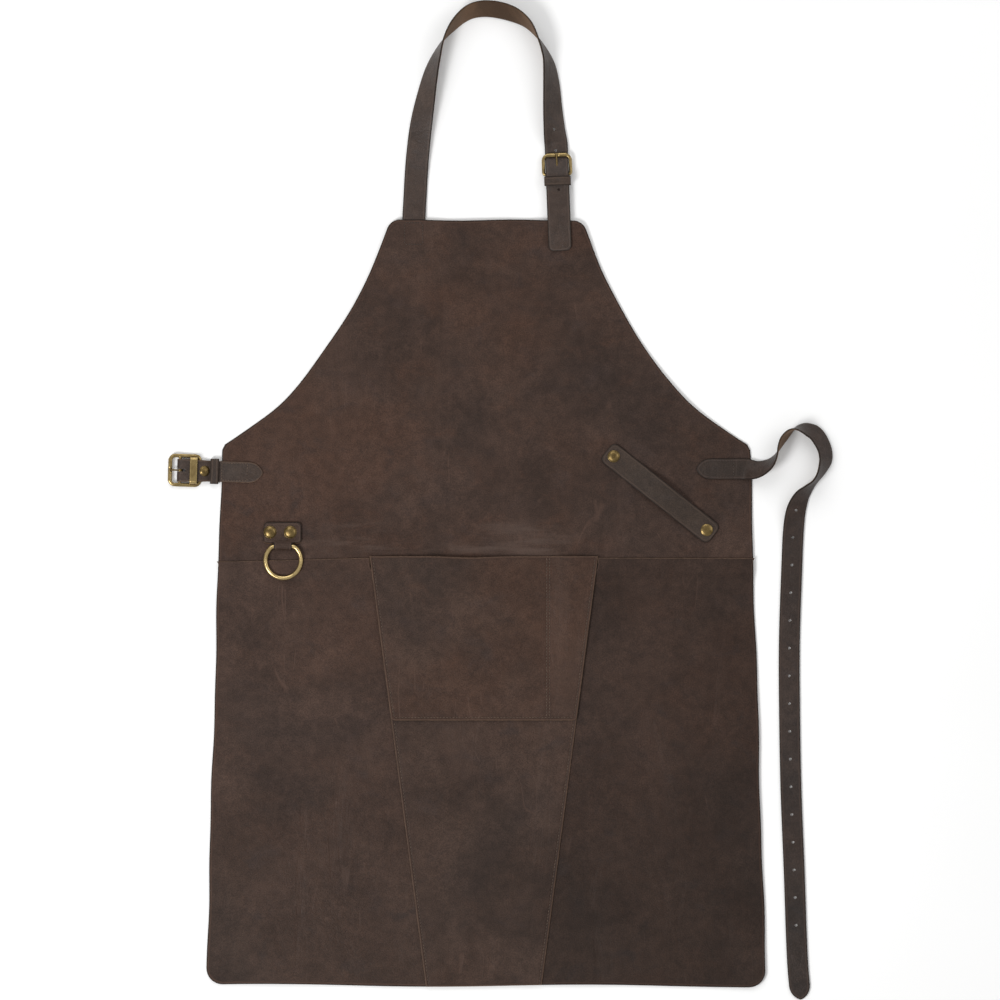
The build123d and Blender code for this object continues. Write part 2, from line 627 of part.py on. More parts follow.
def waist_strap():
    """Sewn on the front by its pointed end, then round a loop on the table and down to its tip."""
    strap = ribbon(WAIST_ROUTE, WAIST_WIDTH)
    sewn = Pos(WAIST_ROUTE[0][0] + 1, WAIST_ROUTE[0][1]) * Rot(0, 0, 180)
    sewn *= prism(pointed(0, WAIST_SEWN_LENGTH, WAIST_WIDTH), PANEL, STRAP)
    strap += sewn
    (x0, y0), (x1, y1) = WAIST_ROUTE[-2][:2], WAIST_ROUTE[-1][:2]
    turn = math.degrees(math.atan2(y1 - y0, x1 - x0))
    strap -= Pos(x1, y1) * Rot(0, 0, turn) * beyond(pointed(-100, 0, WAIST_WIDTH + 0.4), 0)
    for x, y in waist_holes():
        strap -= Pos(x, y, 5) * Cylinder(HOLE, 30)
    return single(strap)


def waist_holes():
    """Hole centres, spaced back from the tip along the strap."""
    samples = smooth(WAIST_ROUTE, 2.0)
    wanted = [LAST_HOLE + HOLE_PITCH * index for index in range(HOLE_COUNT)]
    holes, travelled = [], 0.0
    for after, before in zip(reversed(samples), reversed(samples[:-1])):
        travelled += math.dist(after[:2], before[:2])
        if len(holes) < HOLE_COUNT and travelled >= wanted[len(holes)]:
            holes.append((before[0], before[1]))
    return holes


# ---------------------------------------------------------------- thread

def pocket_thread():
    """Stitching round the pocket's sides and bottom."""
    z = 3 * PANEL
    top, bottom = MOUTH_Y - 3, POCKET_BOTTOM_Y + STITCH_INSET
    inset = STITCH_INSET
    path = [(centre_x(0, top) + inset, top), (centre_x(0, bottom) + inset, bottom),
            (centre_x(1, bottom) - inset, bottom), (centre_x(1, top) - inset, top)]
    return thread(path, z)


def divider_thread():
    """Two rows that part the pen slot from the pocket."""
    z = 3 * PANEL
    rows = [thread([(DIVIDER_X + side, MOUTH_Y - 3), (DIVIDER_X + side, POCKET_BOTTOM_Y + 5)], z)
            for side in DIVIDER_ROWS]
    return Compound(children=[row.solid() for row in rows])


def centre_thread():
    """Stitching down both long edges of the centre panel."""
    top, bottom = POCKET_BOTTOM_Y - 2, HEM_Y + 3
    rows = []
    for side, inset in ((0, STITCH_INSET), (1, -STITCH_INSET)):
        path = [(centre_x(side, top) + inset, top), (centre_x(side, bottom) + inset, bottom)]
        rows.append(thread(path, 2 * PANEL))
    return Compound(children=[row.solid() for row in rows])


def box_thread(x_range, y_range, z):
    """Rectangle of stitches."""
    (x0, x1), (y0, y1) = x_range, y_range
    return thread([(x0, y0), (x1, y0), (x1, y1), (x0, y1)], z, loop=True)


def waist_tab_thread():
    half = WAIST_BOX_HALF
    return waist_place() * box_thread(WAIST_BOX_STITCH, (-half, half), PANEL + STRAP)


def waist_strap_thread():
    y = WAIST_ROUTE[0][1]
    return box_thread(SEWN_BOX_STITCH, (y - SEWN_BOX_HALF, y + SEWN_BOX_HALF), PANEL + STRAP)


def neck_box_thread(x):
    """Box on the bib's front that holds the strap end behind it."""
    return box_thread((x - NECK_BOX_HALF, x + NECK_BOX_HALF), NECK_BOX_STITCH, UNDER_BIB_Z + STRAP + PANEL)


# ---------------------------------------------------------------- assembly

def rivet_group(places, stack, cap_radius):
    """Posts and caps of several rivets, each kind as one group."""
    posts, caps = [], []
    for x, y in places:
        post, cap = rivet(stack, WASHER_RADIUS, cap_radius)
        posts.append((Pos(x, y, 0) * post).solid())
        caps.append((Pos(x, y, 0) * cap).solid())
    return Compound(children=posts), Compound(children=caps)


def build():
    towel_posts, towel_caps = rivet_group(TOWEL_ENDS, PANEL + STRAP, CAP_RADIUS)
    ring_posts, ring_caps = rivet_group(RING_RIVETS, 3 * PANEL + GLUE, RING_CAP_RADIUS)
    waist_post, waist_cap = rivet(WAIST_STACK, SMALL_WASHER, WAIST_CAP_RADIUS)
    waist_prong = Pos(0, 0, WAIST_BAR_Z) * prong(WAIST_PRONG_TIP)
    return {
        "bib_panel": bib_panel(),
        "skirt_left_panel": skirt_side_panel(0),
        "skirt_right_panel": skirt_side_panel(1),
        "skirt_centre_panel": skirt_centre_panel(),
        "centre_pocket": centre_pocket(),
        "pocket_thread": pocket_thread(),
        "pocket_divider_thread": divider_thread(),
        "centre_panel_thread": centre_thread(),
        "towel_strap": towel_strap(),
        "towel_rivet_posts": towel_posts,
        "towel_rivet_caps": towel_caps,
        "ring_tab": ring_tab(),
        "ring_rivet_posts": ring_posts,
        "ring_rivet_caps": ring_caps,
        "tool_ring": tool_ring(),
        "waist_tab": waist_tab(),
        "waist_tab_thread": waist_tab_thread(),
        "waist_rivet_post": waist_place() * waist_rivet_place() * waist_post,
        "waist_rivet_cap": waist_place() * waist_rivet_place() * waist_cap,
        "waist_buckle_frame": waist_place() * waist_frame(),
        "waist_buckle_band": waist_place() * waist_band(),
        "waist_buckle_prong": waist_place() * waist_prong,
        "waist_keeper": waist_place() * waist_keeper(),
        "waist_strap": waist_strap(),
        "waist_strap_thread": waist_strap_thread(),
        "neck_strap": neck_strap(),
        "neck_strap_thread": neck_box_thread(NECK_ROUTE[0][0]),
        "neck_tab": neck_tab(),
        "neck_tab_rivet": neck_rivet(),
        "neck_tab_thread": neck_box_thread(neck_tab_x()),
        "neck_buckle_frame": neck_frame(),
        "neck_buckle_prong": neck_place() * neck_prong(),
        "neck_keeper": neck_keeper(),
    }


def main():
    os.makedirs("parts", exist_ok=True)
    for name, shape in build().items():
        export_step(shape, f"parts/{name}.step")


main()
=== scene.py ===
"""Looks of the leather welding apron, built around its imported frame.

Shapes are worked out in millimetres and become metres when a mesh is made. Flat pieces are grids of
(u, v) points on the cut leather, and a place function bends them into the room.
"""
import math

import bmesh
import bpy
import numpy as np
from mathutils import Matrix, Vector
from mathutils.kdtree import KDTree


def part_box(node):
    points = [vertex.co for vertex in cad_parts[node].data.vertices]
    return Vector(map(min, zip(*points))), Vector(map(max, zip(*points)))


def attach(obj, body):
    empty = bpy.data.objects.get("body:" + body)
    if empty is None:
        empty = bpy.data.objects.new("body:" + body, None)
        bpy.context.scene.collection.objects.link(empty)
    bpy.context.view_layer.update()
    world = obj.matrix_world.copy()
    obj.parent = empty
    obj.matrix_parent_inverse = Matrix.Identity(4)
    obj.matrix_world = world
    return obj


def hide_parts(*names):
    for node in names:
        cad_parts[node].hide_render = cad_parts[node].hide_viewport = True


MM = 0.001

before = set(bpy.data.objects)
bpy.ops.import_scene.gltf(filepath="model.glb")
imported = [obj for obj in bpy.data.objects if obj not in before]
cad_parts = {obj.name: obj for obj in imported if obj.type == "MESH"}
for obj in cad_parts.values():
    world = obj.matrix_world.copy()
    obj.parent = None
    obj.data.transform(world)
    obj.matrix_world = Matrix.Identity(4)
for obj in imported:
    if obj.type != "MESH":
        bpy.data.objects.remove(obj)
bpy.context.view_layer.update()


def corners(node):
    """Lowest and highest corner of a CAD node, in millimetres."""
    low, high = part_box(node)
    return np.array(low) / MM, np.array(high) / MM


# ---- Leather ----
PANEL, STRAP, LOOP = 1.6, 2.0, 1.2
GLUE = 0.1
EDGE_STEPS = (0.0, 0.12, 0.35, 0.7)      # distances from a cut edge over which it rounds off
EDGE_ROUND = 0.7
PLAIN_INSETS = EDGE_STEPS + (1.5, 3.0)
SEWN_INSETS = EDGE_STEPS + (1.4, 2.2, 2.7, 3.2, 3.7, 4.2, 5.2)
LAPPED_INSETS = EDGE_STEPS + (1.5, 3, 4.5, 6.5, 9, 12, 15)
TIP_STEPS = (0.0, 0.12, 0.3, 0.55, 0.9, 1.4, 2.1, 3.1, 4.5, 6.5, 9.0, 12.0, 15.0)
WORN = 0.75                              # faces this near a cut edge show its burnish
BORDER_UNIT, BORDER_MOST = 4.0, 2.0      # the border attribute counts the first 8 mm in units of 4 mm

# ---- Body, from the frame's panels ----
(BODY_LEFT, _, _), (_, SEAM_Y, _) = corners("skirt_left_panel")
BODY_RIGHT = corners("skirt_right_panel")[1][0]
HEM_Y = corners("skirt_centre_panel")[0][1]
(_, BIB_BOTTOM_Y, _), (_, NECK_Y, _) = corners("bib_panel")
(_, POCKET_BOTTOM_Y, _), (_, MOUTH_Y, _) = corners("centre_pocket")
AXIS_X = (BODY_LEFT + BODY_RIGHT) / 2
HEM_HALF = (BODY_RIGHT - BODY_LEFT) / 2 + 0.6
NECK_HALF, WAIST_HALF, WAIST_CORNER_Y = 105.6, 290.5, 60.0
ARMHOLE = [(132, 242), (170.5, 175), (221, 110), (272.8, 70.4)]
NECK_CORNER, WAIST_CORNER, HEM_CORNER = 15.0, 13.0, 18.0
LAP = SEAM_Y - BIB_BOTTOM_Y
RISE_RUN = 12.0
SEAM_DROPS = (4.0, 0.4)                  # how much lower the seam is at the left and right side
CENTRE_TOP, CENTRE_HEM = (-143.5, 108.0), (-81.5, 46.0)
DIVIDER_X, DIVIDER_HALF = 52.8, 1.6
STITCH_INSET = 3.2

# ---- Strap routes: x, y, lean, height of the lowest edge ----
UNDER_BIB_Z = 1.32
NECK_WIDTH, WAIST_WIDTH = 26.0, 23.0
WIRE = 1.6
FOLD = WIRE + 0.08
NECK_BAR_Z = UNDER_BIB_Z + STRAP + FOLD
BILLET_OVER = NECK_BAR_Z + FOLD + STRAP + GLUE
NECK_BUCKLE, NECK_TURN = (63.0, 357.9), -87.8
WAIST_BUCKLE, WAIST_TURN = (-352.0, 32.8), -1.9
WAIST_BAR_Z, WAIST_TILT = 3.7, 5.4
WAIST_FRAME_WIDTH = 33.0
UPPER_LAYER_Z = 5.45                     # underside of the waist tab's upper layer near the buckle
BAND_ROOM = 2.6                          # over the strap, inside the metal band and the waist keeper
NECK_ROUTE = [(-94.9, 280, 0, UNDER_BIB_Z), (-94.9, 296, 0, UNDER_BIB_Z), (-94.8, 309, 0, UNDER_BIB_Z),
              (-93.4, 335, 0, 0.4),
              (-92.2, 358, 3, 0), (-90.0, 385, 9, 0), (-86.8, 412, 18, 0), (-81.2, 444, 38, 0),
              (-75.3, 471, 55, 0), (-69.6, 488.5, 70, 0), (-62.6, 505, 88, 0), (-52.4, 520, 107, 0),
              (-40.5, 532, 119, 0), (-28.5, 538.5, 128, 0), (-11.2, 540.2, 132, 0), (11.9, 535, 128, 0),
              (29.5, 524.5, 110, 0), (41.5, 508.5, 90, 0), (51.0, 489, 72, 0), (54.4, 476, 59, 0),
              (56.6, 455.5, 46, 0), (57.9, 431, 36, 0), (59.8, 407, 22, 0)]
NECK_BUCKLE_PART = [(-32, 0.7), (-26, 1.1), (-19, 1.1), (-2, BILLET_OVER), (2, BILLET_OVER), (15, 5.6),
                    (24, 5.5), (84, 5.5)]
NECK_HOLES = [(59.8, 407.7), (61.3, 384.5), (64.6, 341.4)]
WAIST_ROUTE = [(216, 34.2, 0, PANEL), (237, 34.2, 0, PANEL),
               (258, 34.2, 0, PANEL), (270, 34.2, 2, PANEL), (278.5, 33.4, 24, PANEL), (287, 34.8, 45, 1.2),
               (297, 40.5, 66, 0.4), (303.8, 49.5, 86, 0), (307.5, 59, 99, 0), (312, 67.5, 107, 0),
               (318.6, 75, 102, 0), (325, 78.6, 86, 0), (332, 79, 66, 0), (338.5, 77.5, 53, 0),
               (347.6, 72.4, 45, 0), (356.5, 57, 48, 0), (358.2, 45.5, 52, 0), (356.4, 38.4, 59, 0),
               (352, 28.6, 72, 0), (345.8, 19.8, 78, 0), (338.4, 11.6, 64, 0), (331.2, 2.8, 43, 0),
               (325.6, -11.5, 22, 0), (322.9, -32, 6, 0), (321.3, -66, 0, 0), (318.4, -154, 0, 0),
               (318.5, -230, 0, 0), (320.1, -318, 0, 0), (323.6, -407, 0, 0), (327.3, -507, 0, 0),
               (331.0, -549.7, 0, 0)]
POINT = 17.0                             # length of a pointed strap end
HOLE, HOLE_PITCH, HOLE_COUNT, LAST_HOLE = 1.5, 30.5, 16, 82.0


# ---------------------------------------------------------------- node trees

class Shader:
    """A material whose nodes are added by name, with constants or other nodes' outputs as inputs."""

    def __init__(self, name):
        self.material = bpy.data.materials.new(name)
        self.material.use_nodes = True
        self.tree = self.material.node_tree
        self.tree.nodes.clear()
        self.out = self.tree.nodes.new("ShaderNodeOutputMaterial")

    def add(self, kind, output=0, settings=None, **inputs):
        """Adds a node. Its inputs go by name, as in Base_Color, or by number, as in in6."""
        node = self.tree.nodes.new("ShaderNode" + kind)
        for key, value in (settings or {}).items():
            setattr(node, key, value)
        for key, value in inputs.items():
            numbered = key[:2] == "in" and key[2:].isdigit()
            socket = node.inputs[int(key[2:]) if numbered else key.replace("_", " ")]
            if isinstance(value, bpy.types.NodeSocket):
                self.tree.links.new(value, socket)
            else:
                socket.default_value = (*value, 1.0) if socket.type == "RGBA" else value
        return node.outputs[output]

    def place(self, offset=(0, 0, 0), rotation=(0, 0, 0), scale=(1, 1, 1)):
        point = self.add("TexCoord", "Object")
        return self.add("Mapping", Vector=point, Location=offset, Rotation=rotation, Scale=scale)

    def noise(self, vector, scale, detail=4.0, roughness=0.55, distortion=0.0):
        return self.add("TexNoise", Vector=vector, Scale=scale, Detail=detail, Roughness=roughness,
                        Distortion=distortion)

    def math(self, operation, a, b=0.0, c=0.0):
        return self.add("Math", settings={"operation": operation}, in0=a, in1=b, in2=c)

    def times(self, value, *others):
        """Product of values."""
        for other in others:
            value = self.math("MULTIPLY", value, other)
        return value

    def span(self, value, low, high, to_low=0.0, to_high=1.0):
        """Smooth step of a value between two limits."""
        return self.add("MapRange", settings={"interpolation_type": "SMOOTHSTEP"}, in0=value, in1=low,
                        in2=high, in3=to_low, in4=to_high)

    def mix(self, factor, a, b, kind="MIX"):
        return self.add("Mix", 2, {"data_type": "RGBA", "blend_type": kind}, in0=factor, in6=a, in7=b)

    def over(self, colour, tint, share, value, low, high, kind="MIX"):
        """Colour with a share of a tint laid over it where value goes from low to high."""
        return self.mix(self.span(value, low, high, 0.0, share), colour, tint, kind)

    def finish(self, layers=(), **inputs):
        """Principled surface, with a bump summed from layers of (value, depth in metres)."""
        height = 0.0
        for value, depth in layers:
            height = self.math("MULTIPLY_ADD", value, depth, height)
        if layers:
            inputs["Normal"] = self.add("Bump", Height=height, Distance=1.0, Strength=1.0)
        shader = self.add("BsdfPrincipled", **inputs)
        self.tree.links.new(shader, self.out.inputs["Surface"])
        return self.material


def shade(tone, *factors):
    """A tone made lighter or darker, by one factor or by one for each channel."""
    return tuple(min(channel * factor, 1.0) for channel, factor in zip(tone, factors * 3))


def scratches(s, offset, angle, width, share):
    """Long thin marks along one direction: the level lines of a stretched noise, broken up by another."""
    along = s.place(offset, (0, 0, angle), (1.0, 0.15, 1.0))
    level = s.noise(along, 12.0, 2.0, 0.45, 0.9)
    off_line = s.math("ABSOLUTE", s.math("SUBTRACT", level, 0.5))
    broken = s.span(s.noise(s.place(offset), 15.0, 4.0, 0.6), share, share + 0.06)
    return s.times(s.span(off_line, 0.0, width, 1.0, 0.0), broken)


def streaks(s, offset, angle, scale, low):
    """Soft lighter bands where the leather was bent and its wax moved."""
    place = s.place(offset, (0, 0, angle), (1.0, 0.22, 1.0))
    return s.span(s.noise(place, scale, 6.0, 0.62, 0.5), low, low + 0.16)


def painted_sheen(s, offset, point, x_range, y_range):
    """Pale, bluish streaks of painted sheen inside a place whose limits are in metres."""
    (left, right), (low, high) = x_range, y_range
    x, y = (s.add("SeparateXYZ", axis, Vector=point) for axis in "XY")
    inside = s.times(s.span(y, low, low + 0.015), s.span(y, high, high - 0.02),
                     s.span(x, left, left + 0.05), s.span(x, right, right - 0.05))
    sheen_noise = s.noise(s.place(offset, (0, 0, 0.03), (0.14, 1.0, 1.0)), 62.0, 6.0, 0.62)
    return s.times(inside, s.span(sheen_noise, 0.46, 0.66, 0.0, 0.5))


def leather(name, tone, offset, outlined, soiled=(), smeared=None, cloud=1.0, contrast=1.0, marks=1.0,
            warm=0.5, gloss=0.0):
    """Waxed pull-up leather: clouds of darker and warmer brown, scuffs, scratches and a fine grain.

    A list of darkenings along an axis, as (axis, plain and darkest place in metres, share, tint), makes it
    darker; on the skirts and the waist strap this is painted shade.
    Its pale streaks of painted sheen, if it has them, lie in the place given for them.
    """
    s = Shader(name)
    place, point = s.place(offset), s.add("TexCoord", "Object")
    wide = s.noise(place, 3.1 * cloud, 4.0, 0.55, 0.8)
    clouds = s.noise(place, 10.0 * cloud, 6.0, 0.6, 0.6)
    patches = s.noise(s.place(offset, (0, 0, 0.5), (1.0, 1.5, 1.0)), 24.0 * cloud, 6.0, 0.66, 0.5)
    mottle = s.noise(place, 95.0, 4.0, 0.65)
    fine = s.noise(place, 800.0, 3.0, 0.65)
    colour = s.mix(s.span(clouds, 0.34, 0.66), shade(tone, 1 - 0.25 * contrast),
                   shade(tone, 1 + 0.20 * contrast))
    reddish = shade(tone, 1.24, 1.03, 0.88)
    colour = s.over(colour, reddish, warm, wide, 0.44, 0.60)
    colour = s.over(colour, shade(tone, 0.66, 0.72, 0.78), 0.62 * contrast, wide, 0.46, 0.33)
    colour = s.over(colour, reddish, warm * 0.8, patches, 0.50, 0.72)
    colour = s.over(colour, shade(tone, 0.86, 0.95, 1.08), 0.7, patches, 0.48, 0.28)
    speckle = s.times(s.span(mottle, 0.3, 0.7, 0.84, 1.16), s.span(fine, 0.3, 0.7, 0.72, 1.28))
    speckles = s.add("CombineColor", Red=speckle, Green=speckle, Blue=speckle)
    colour = s.mix(1.0, colour, speckles, "MULTIPLY")
    bends = s.math("MAXIMUM", streaks(s, offset, 0.1, 13.0, 0.56), streaks(s, offset, 1.45, 15.0, 0.60))
    scuffs = s.span(s.noise(place, 37.0, 6.0, 0.74, 0.3), 0.59, 0.72)
    lines = 0.0
    for angle, width, share in ((0.5, 0.006, 0.58), (-1.0, 0.005, 0.59), (1.9, 0.006, 0.58)):
        lines = s.math("MAXIMUM", lines, scratches(s, offset, angle, width, share))
    for mark, share in ((bends, 0.20), (scuffs, 0.26), (lines, 0.42)):
        colour = s.mix(s.times(mark, share * marks), colour, shade(tone, 1.9, 1.85, 1.85))
    # Painted sheen: pale, bluish streaks in the given place.
    if smeared:
        colour = s.mix(painted_sheen(s, offset, point, *smeared), colour, shade(tone, 2.0, 2.35, 2.6))
    # Darker along an axis: painted shade on the skirts and the waist strap.
    for axis, plain_at, darkest_at, share, tint in soiled:
        along = s.add("SeparateXYZ", axis, Vector=point)
        colour = s.over(colour, tint, share, along, plain_at, darkest_at, "MULTIPLY")
    border = s.add("Attribute", "Fac", {"attribute_name": "border"})
    blotchy = s.math("MULTIPLY_ADD", mottle, 0.9, border)
    colour = s.over(colour, shade(tone, 0.5), 0.30, blotchy, 1.55, 0.80)
    inward = 0.25 if outlined else 0.0
    colour = s.over(colour, shade(tone, 2.0, 1.9, 1.8), 0.45, blotchy, 0.95 + inward, 0.76 + inward)
    # Dark outline just inside the cut edge: painted shade.
    if outlined:
        colour = s.over(colour, shade(tone, 0.4), 0.6, blotchy, 0.92, 0.74)
    grain = s.add("TexVoronoi", "Distance", {"feature": "SMOOTH_F1"}, Vector=place, Scale=850.0)
    wrinkles = s.noise(s.place(offset, (0, 0, 0.3), (1.0, 1.5, 1.0)), 150.0, 5.0, 0.7, 1.0)
    layers = [(grain, 0.00016), (wrinkles, 0.00045), (mottle, 0.0005), (bends, -0.0006), (lines, -0.00012)]
    shine = 0.16 * gloss
    duller = s.span(patches, 0.3, 0.7, 0.68 - shine, 0.56 - shine)
    rough = s.math("MULTIPLY_ADD", s.span(wide, 0.36, 0.64), -0.10, duller)
    return s.finish(layers, Base_Color=colour, Roughness=rough, Specular_IOR_Level=0.18 + 0.2 * gloss,
                    IOR=1.45)


def cut_edge(name, tone):
    """Burnished edge of cut leather: layers of fibre along the edge, waxed."""
    s = Shader(name)
    layers = s.noise(s.place(scale=(1, 1, 7)), 260.0, 4.0, 0.6)
    blotch = s.noise(s.place(), 60.0, 4.0)
    colour = s.mix(s.span(layers, 0.3, 0.7), shade(tone, 0.6), shade(tone, 1.25))
    colour = s.over(colour, shade(tone, 0.55), 0.5, blotch, 0.45, 0.65)
    return s.finish([(layers, 0.00015)], Base_Color=colour, Roughness=0.6, Specular_IOR_Level=0.18)


def flesh_side(name, tone):
    """Suede-like back of the leather, with loose fibres and a soft nap."""
    s = Shader(name)
    nap = s.noise(s.place(), 900.0, 4.0, 0.7)
    clouds = s.noise(s.place(), 10.0, 6.0, 0.65, 1.2)
    fibres = s.noise(s.place(rotation=(0, 0, 0.7), scale=(1, 5, 1)), 420.0, 4.0, 0.65, 1.5)
    colour = s.mix(s.span(clouds, 0.36, 0.64), shade(tone, 0.62), shade(tone, 1.3))
    colour = s.over(colour, shade(tone, 1.6), 0.5, fibres, 0.55, 0.8)
    return s.finish([(fibres, 0.00025), (nap, 0.0002)], Base_Color=colour, Roughness=0.95,
                    Specular_IOR_Level=0.15, Sheen_Weight=0.25, Sheen_Roughness=0.6,
                    Sheen_Tint=(0.8, 0.6, 0.45))


def antique_brass(name, dark, bright, polish, rough):
    """Brass with a dark patina that is rubbed bright on what stands out."""
    s = Shader(name)
    rubbed = s.span(s.add("NewGeometry", "Pointiness"), 0.48, 0.60)
    cloudy = s.noise(s.place(), 150.0, 5.0, 0.6, 0.6)
    specks = s.noise(s.place(), 1100.0, 3.0, 0.6)
    lines = s.noise(s.place(scale=(1, 6, 1)), 900.0, 3.0)
    worn = s.span(cloudy, 0.34, 0.66, polish - 0.2, polish + 0.2)
    colour = s.mix(s.math("MULTIPLY_ADD", rubbed, 0.5, worn), dark, bright)
    colour = s.over(colour, shade(dark, 0.5), 0.5, specks, 0.62, 0.74)
    return s.finish([(lines, 0.00002), (cloudy, 0.00005)], Base_Color=colour, Metallic=1.0,
                    Roughness=s.span(cloudy, 0.3, 0.7, rough + 0.1, rough))


def waxed_thread(name, tone):
    """Two-ply thread with its wax worn off in places."""
    s = Shader(name)
    ply = s.add("TexWave", 1, {"wave_type": "BANDS", "bands_direction": "DIAGONAL"},
                Vector=s.place(), Scale=420.0, Distortion=1.5, Detail=2.0)
    worn = s.noise(s.place(), 130.0, 3.0)
    colour = s.mix(s.span(worn, 0.35, 0.65), shade(tone, 0.75), shade(tone, 1.3))
    colour = s.mix(s.times(ply, 0.35), colour, shade(tone, 0.5))
    return s.finish([(ply, 0.00012)], Base_Color=colour, Roughness=0.62)


def pale_floor(name):
    s = Shader(name)
    colour = s.mix(s.noise(s.place(), 3.0, 2.0), (0.90, 0.90, 0.895), (0.93, 0.93, 0.93))
    return s.finish(Base_Color=colour, Roughness=0.9, Specular_IOR_Level=0.1)


# Linear colours of the leather in its several pieces.
BODY = (0.0440, 0.0256, 0.0188)
STRAPS = (0.0410, 0.0296, 0.0242)
# The first two tints paint shade: darker towards the hem, and on the waist strap's end sewn on the bib. The
# third darkens the neck strap towards the lower ends of its legs.
LOW_SHADE, END_SHADE, NECK_LEG_DARKENING = (0.70, 0.76, 0.79), (0.67, 0.66, 0.62), (0.86, 0.80, 0.77)
EDGE = cut_edge("edge_burnished", (0.098, 0.060, 0.039))
# A cut edge darker than the leather: partly its own colour, partly painted shade along the outlines.
DARK_EDGE = cut_edge("edge_dark", (0.019, 0.0125, 0.009))
FLESH = flesh_side("flesh_side", (0.066, 0.036, 0.020))
BRASS = antique_brass("brass_antique", (0.105, 0.070, 0.028), (0.52, 0.385, 0.17), 0.42, 0.26)
BRIGHT_BRASS = antique_brass("brass_bright", (0.20, 0.138, 0.055), (0.66, 0.50, 0.235), 0.55, 0.24)
DARK_BRASS = antique_brass("brass_dark", (0.060, 0.038, 0.014), (0.36, 0.255, 0.105), 0.34, 0.29)
THREAD = waxed_thread("thread_waxed", (0.088, 0.056, 0.038))
DARK_THREAD = waxed_thread("thread_dark", (0.046, 0.030, 0.022))


def leather_set(name, tone, offset, light_edge=False, **look):
    """Grain side, cut edge and flesh side of one cut of leather. Without a light edge, it gets the dark edge
    and a dark outline, partly painted shade.
    """
    grain = leather("leather_" + name, tone, offset, not light_edge, **look)
    return [grain, EDGE if light_edge else DARK_EDGE, FLESH]


# ---------------------------------------------------------------- numbers

def step_between(value, low, high):
    """Smooth step from 0 at low to 1 at high."""
    t = np.clip((np.asarray(value, float) - low) / (high - low), 0, 1)
    return t * t * (3 - 2 * t)


def smooth(stations, step):
    """Smooth curve through stations, whose first two values are x and y, sampled about every step."""
    points = np.array(stations, float)
    gaps = np.hypot(*np.diff(points[:, :2], axis=0).T)
    slopes = []
    for index in range(len(points)):
        low, high = max(index - 1, 0), min(index + 1, len(gaps))
        slopes.append((points[high] - points[low]) / gaps[low:high].sum())
    samples = []
    for index, gap in enumerate(gaps):
        t = np.linspace(0, 1, max(1, round(gap / step)), endpoint=False)[:, None]
        samples.append((2 * t**3 - 3 * t**2 + 1) * points[index] + (3 * t**2 - 2 * t**3) * points[index + 1]
                       + gap * (t**3 - 2 * t**2 + t) * slopes[index]
                       + gap * (t**3 - t**2) * slopes[index + 1])
    return np.vstack(samples + [points[-1:]])


def unit(vectors):
    return vectors / np.linalg.norm(vectors, axis=-1, keepdims=True)


def arc_length(points):
    return np.concatenate([[0], np.cumsum(np.linalg.norm(np.diff(points, axis=0), axis=1))])


def arc(centre, radius, start, end, count):
    """Points of an arc between two angles in degrees."""
    return [(centre[0] + radius * math.cos(a), centre[1] + radius * math.sin(a))
            for a in np.radians(np.linspace(start, end, count))]


def rounded_box(left, right, low, high, left_corner, right_corner, count):
    """Points round a box from its right side, with its own corner radius at either end."""
    points = []
    for x, y, radius, start in ((right - right_corner, high - right_corner, right_corner, 0),
                                (left + left_corner, high - left_corner, left_corner, 90),
                                (left + left_corner, low + left_corner, left_corner, 180),
                                (right - right_corner, low + right_corner, right_corner, 270)):
        points += arc((x, y), radius, start, start + 90, count)
    return points


def lattice(low, high, step, fine=(), ends=PLAIN_INSETS):
    """Positions from low to high: closer together at the two ends and at the fine places."""
    base = np.linspace(low, high, max(2, round((high - low) / step)) + 1)
    close = [low + d for d in ends] + [high - d for d in ends]
    for place, half, pitch in fine:
        close += list(np.arange(place - half, place + half + 1e-6, pitch))
    close = np.array([c for c in close if low <= c <= high])
    far = np.array([b for b in base if abs(close - b).min() > step * 0.35])
    merged = np.sort(np.concatenate([close, far]))
    return merged[np.concatenate([[True], np.diff(merged) > 0.02])]


def turned(points, turn, place):
    """Points of a local layout turned about Z by degrees and moved to place."""
    angle = math.radians(turn)
    x, y, z = np.moveaxis(np.asarray(points, float), -1, 0)
    rise = place[2] if len(place) == 3 else 0.0
    return np.stack([place[0] + x * math.cos(angle) - y * math.sin(angle),
                     place[1] + x * math.sin(angle) + y * math.cos(angle), z + rise], axis=-1)


def tipped(points, tilt):
    """Points turned about Y by degrees, so that their +X side goes down."""
    angle = math.radians(tilt)
    x, y, z = points.T
    return np.stack([x * math.cos(angle) + z * math.sin(angle), y,
                     z * math.cos(angle) - x * math.sin(angle)], axis=1)


# ---------------------------------------------------------------- meshes

def outward(piece):
    """Turns the faces of a closed mesh outwards."""
    mesh = bmesh.new()
    mesh.from_mesh(piece.data)
    bmesh.ops.recalc_face_normals(mesh, faces=mesh.faces)
    mesh.to_mesh(piece.data)
    mesh.free()
    return piece


def new_object(name, vertices, faces, materials, sharp=0, indices=None):
    """Closed mesh from points in millimetres, smooth except at edges sharper than sharp, if given."""
    mesh = bpy.data.meshes.new(name)
    mesh.from_pydata((np.asarray(vertices) * MM).tolist(), [], faces)
    for material in materials:
        mesh.materials.append(material)
    if indices is not None:
        mesh.polygons.foreach_set("material_index", indices)
    mesh.update()
    mesh.shade_smooth()
    if sharp:
        mesh.set_sharp_from_angle(angle=math.radians(sharp))
    piece = bpy.data.objects.new(name, mesh)
    bpy.context.scene.collection.objects.link(piece)
    return outward(piece)


def assign(piece, node, body="apron"):
    """What every piece needs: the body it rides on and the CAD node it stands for."""
    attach(piece, body)
    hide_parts(node)


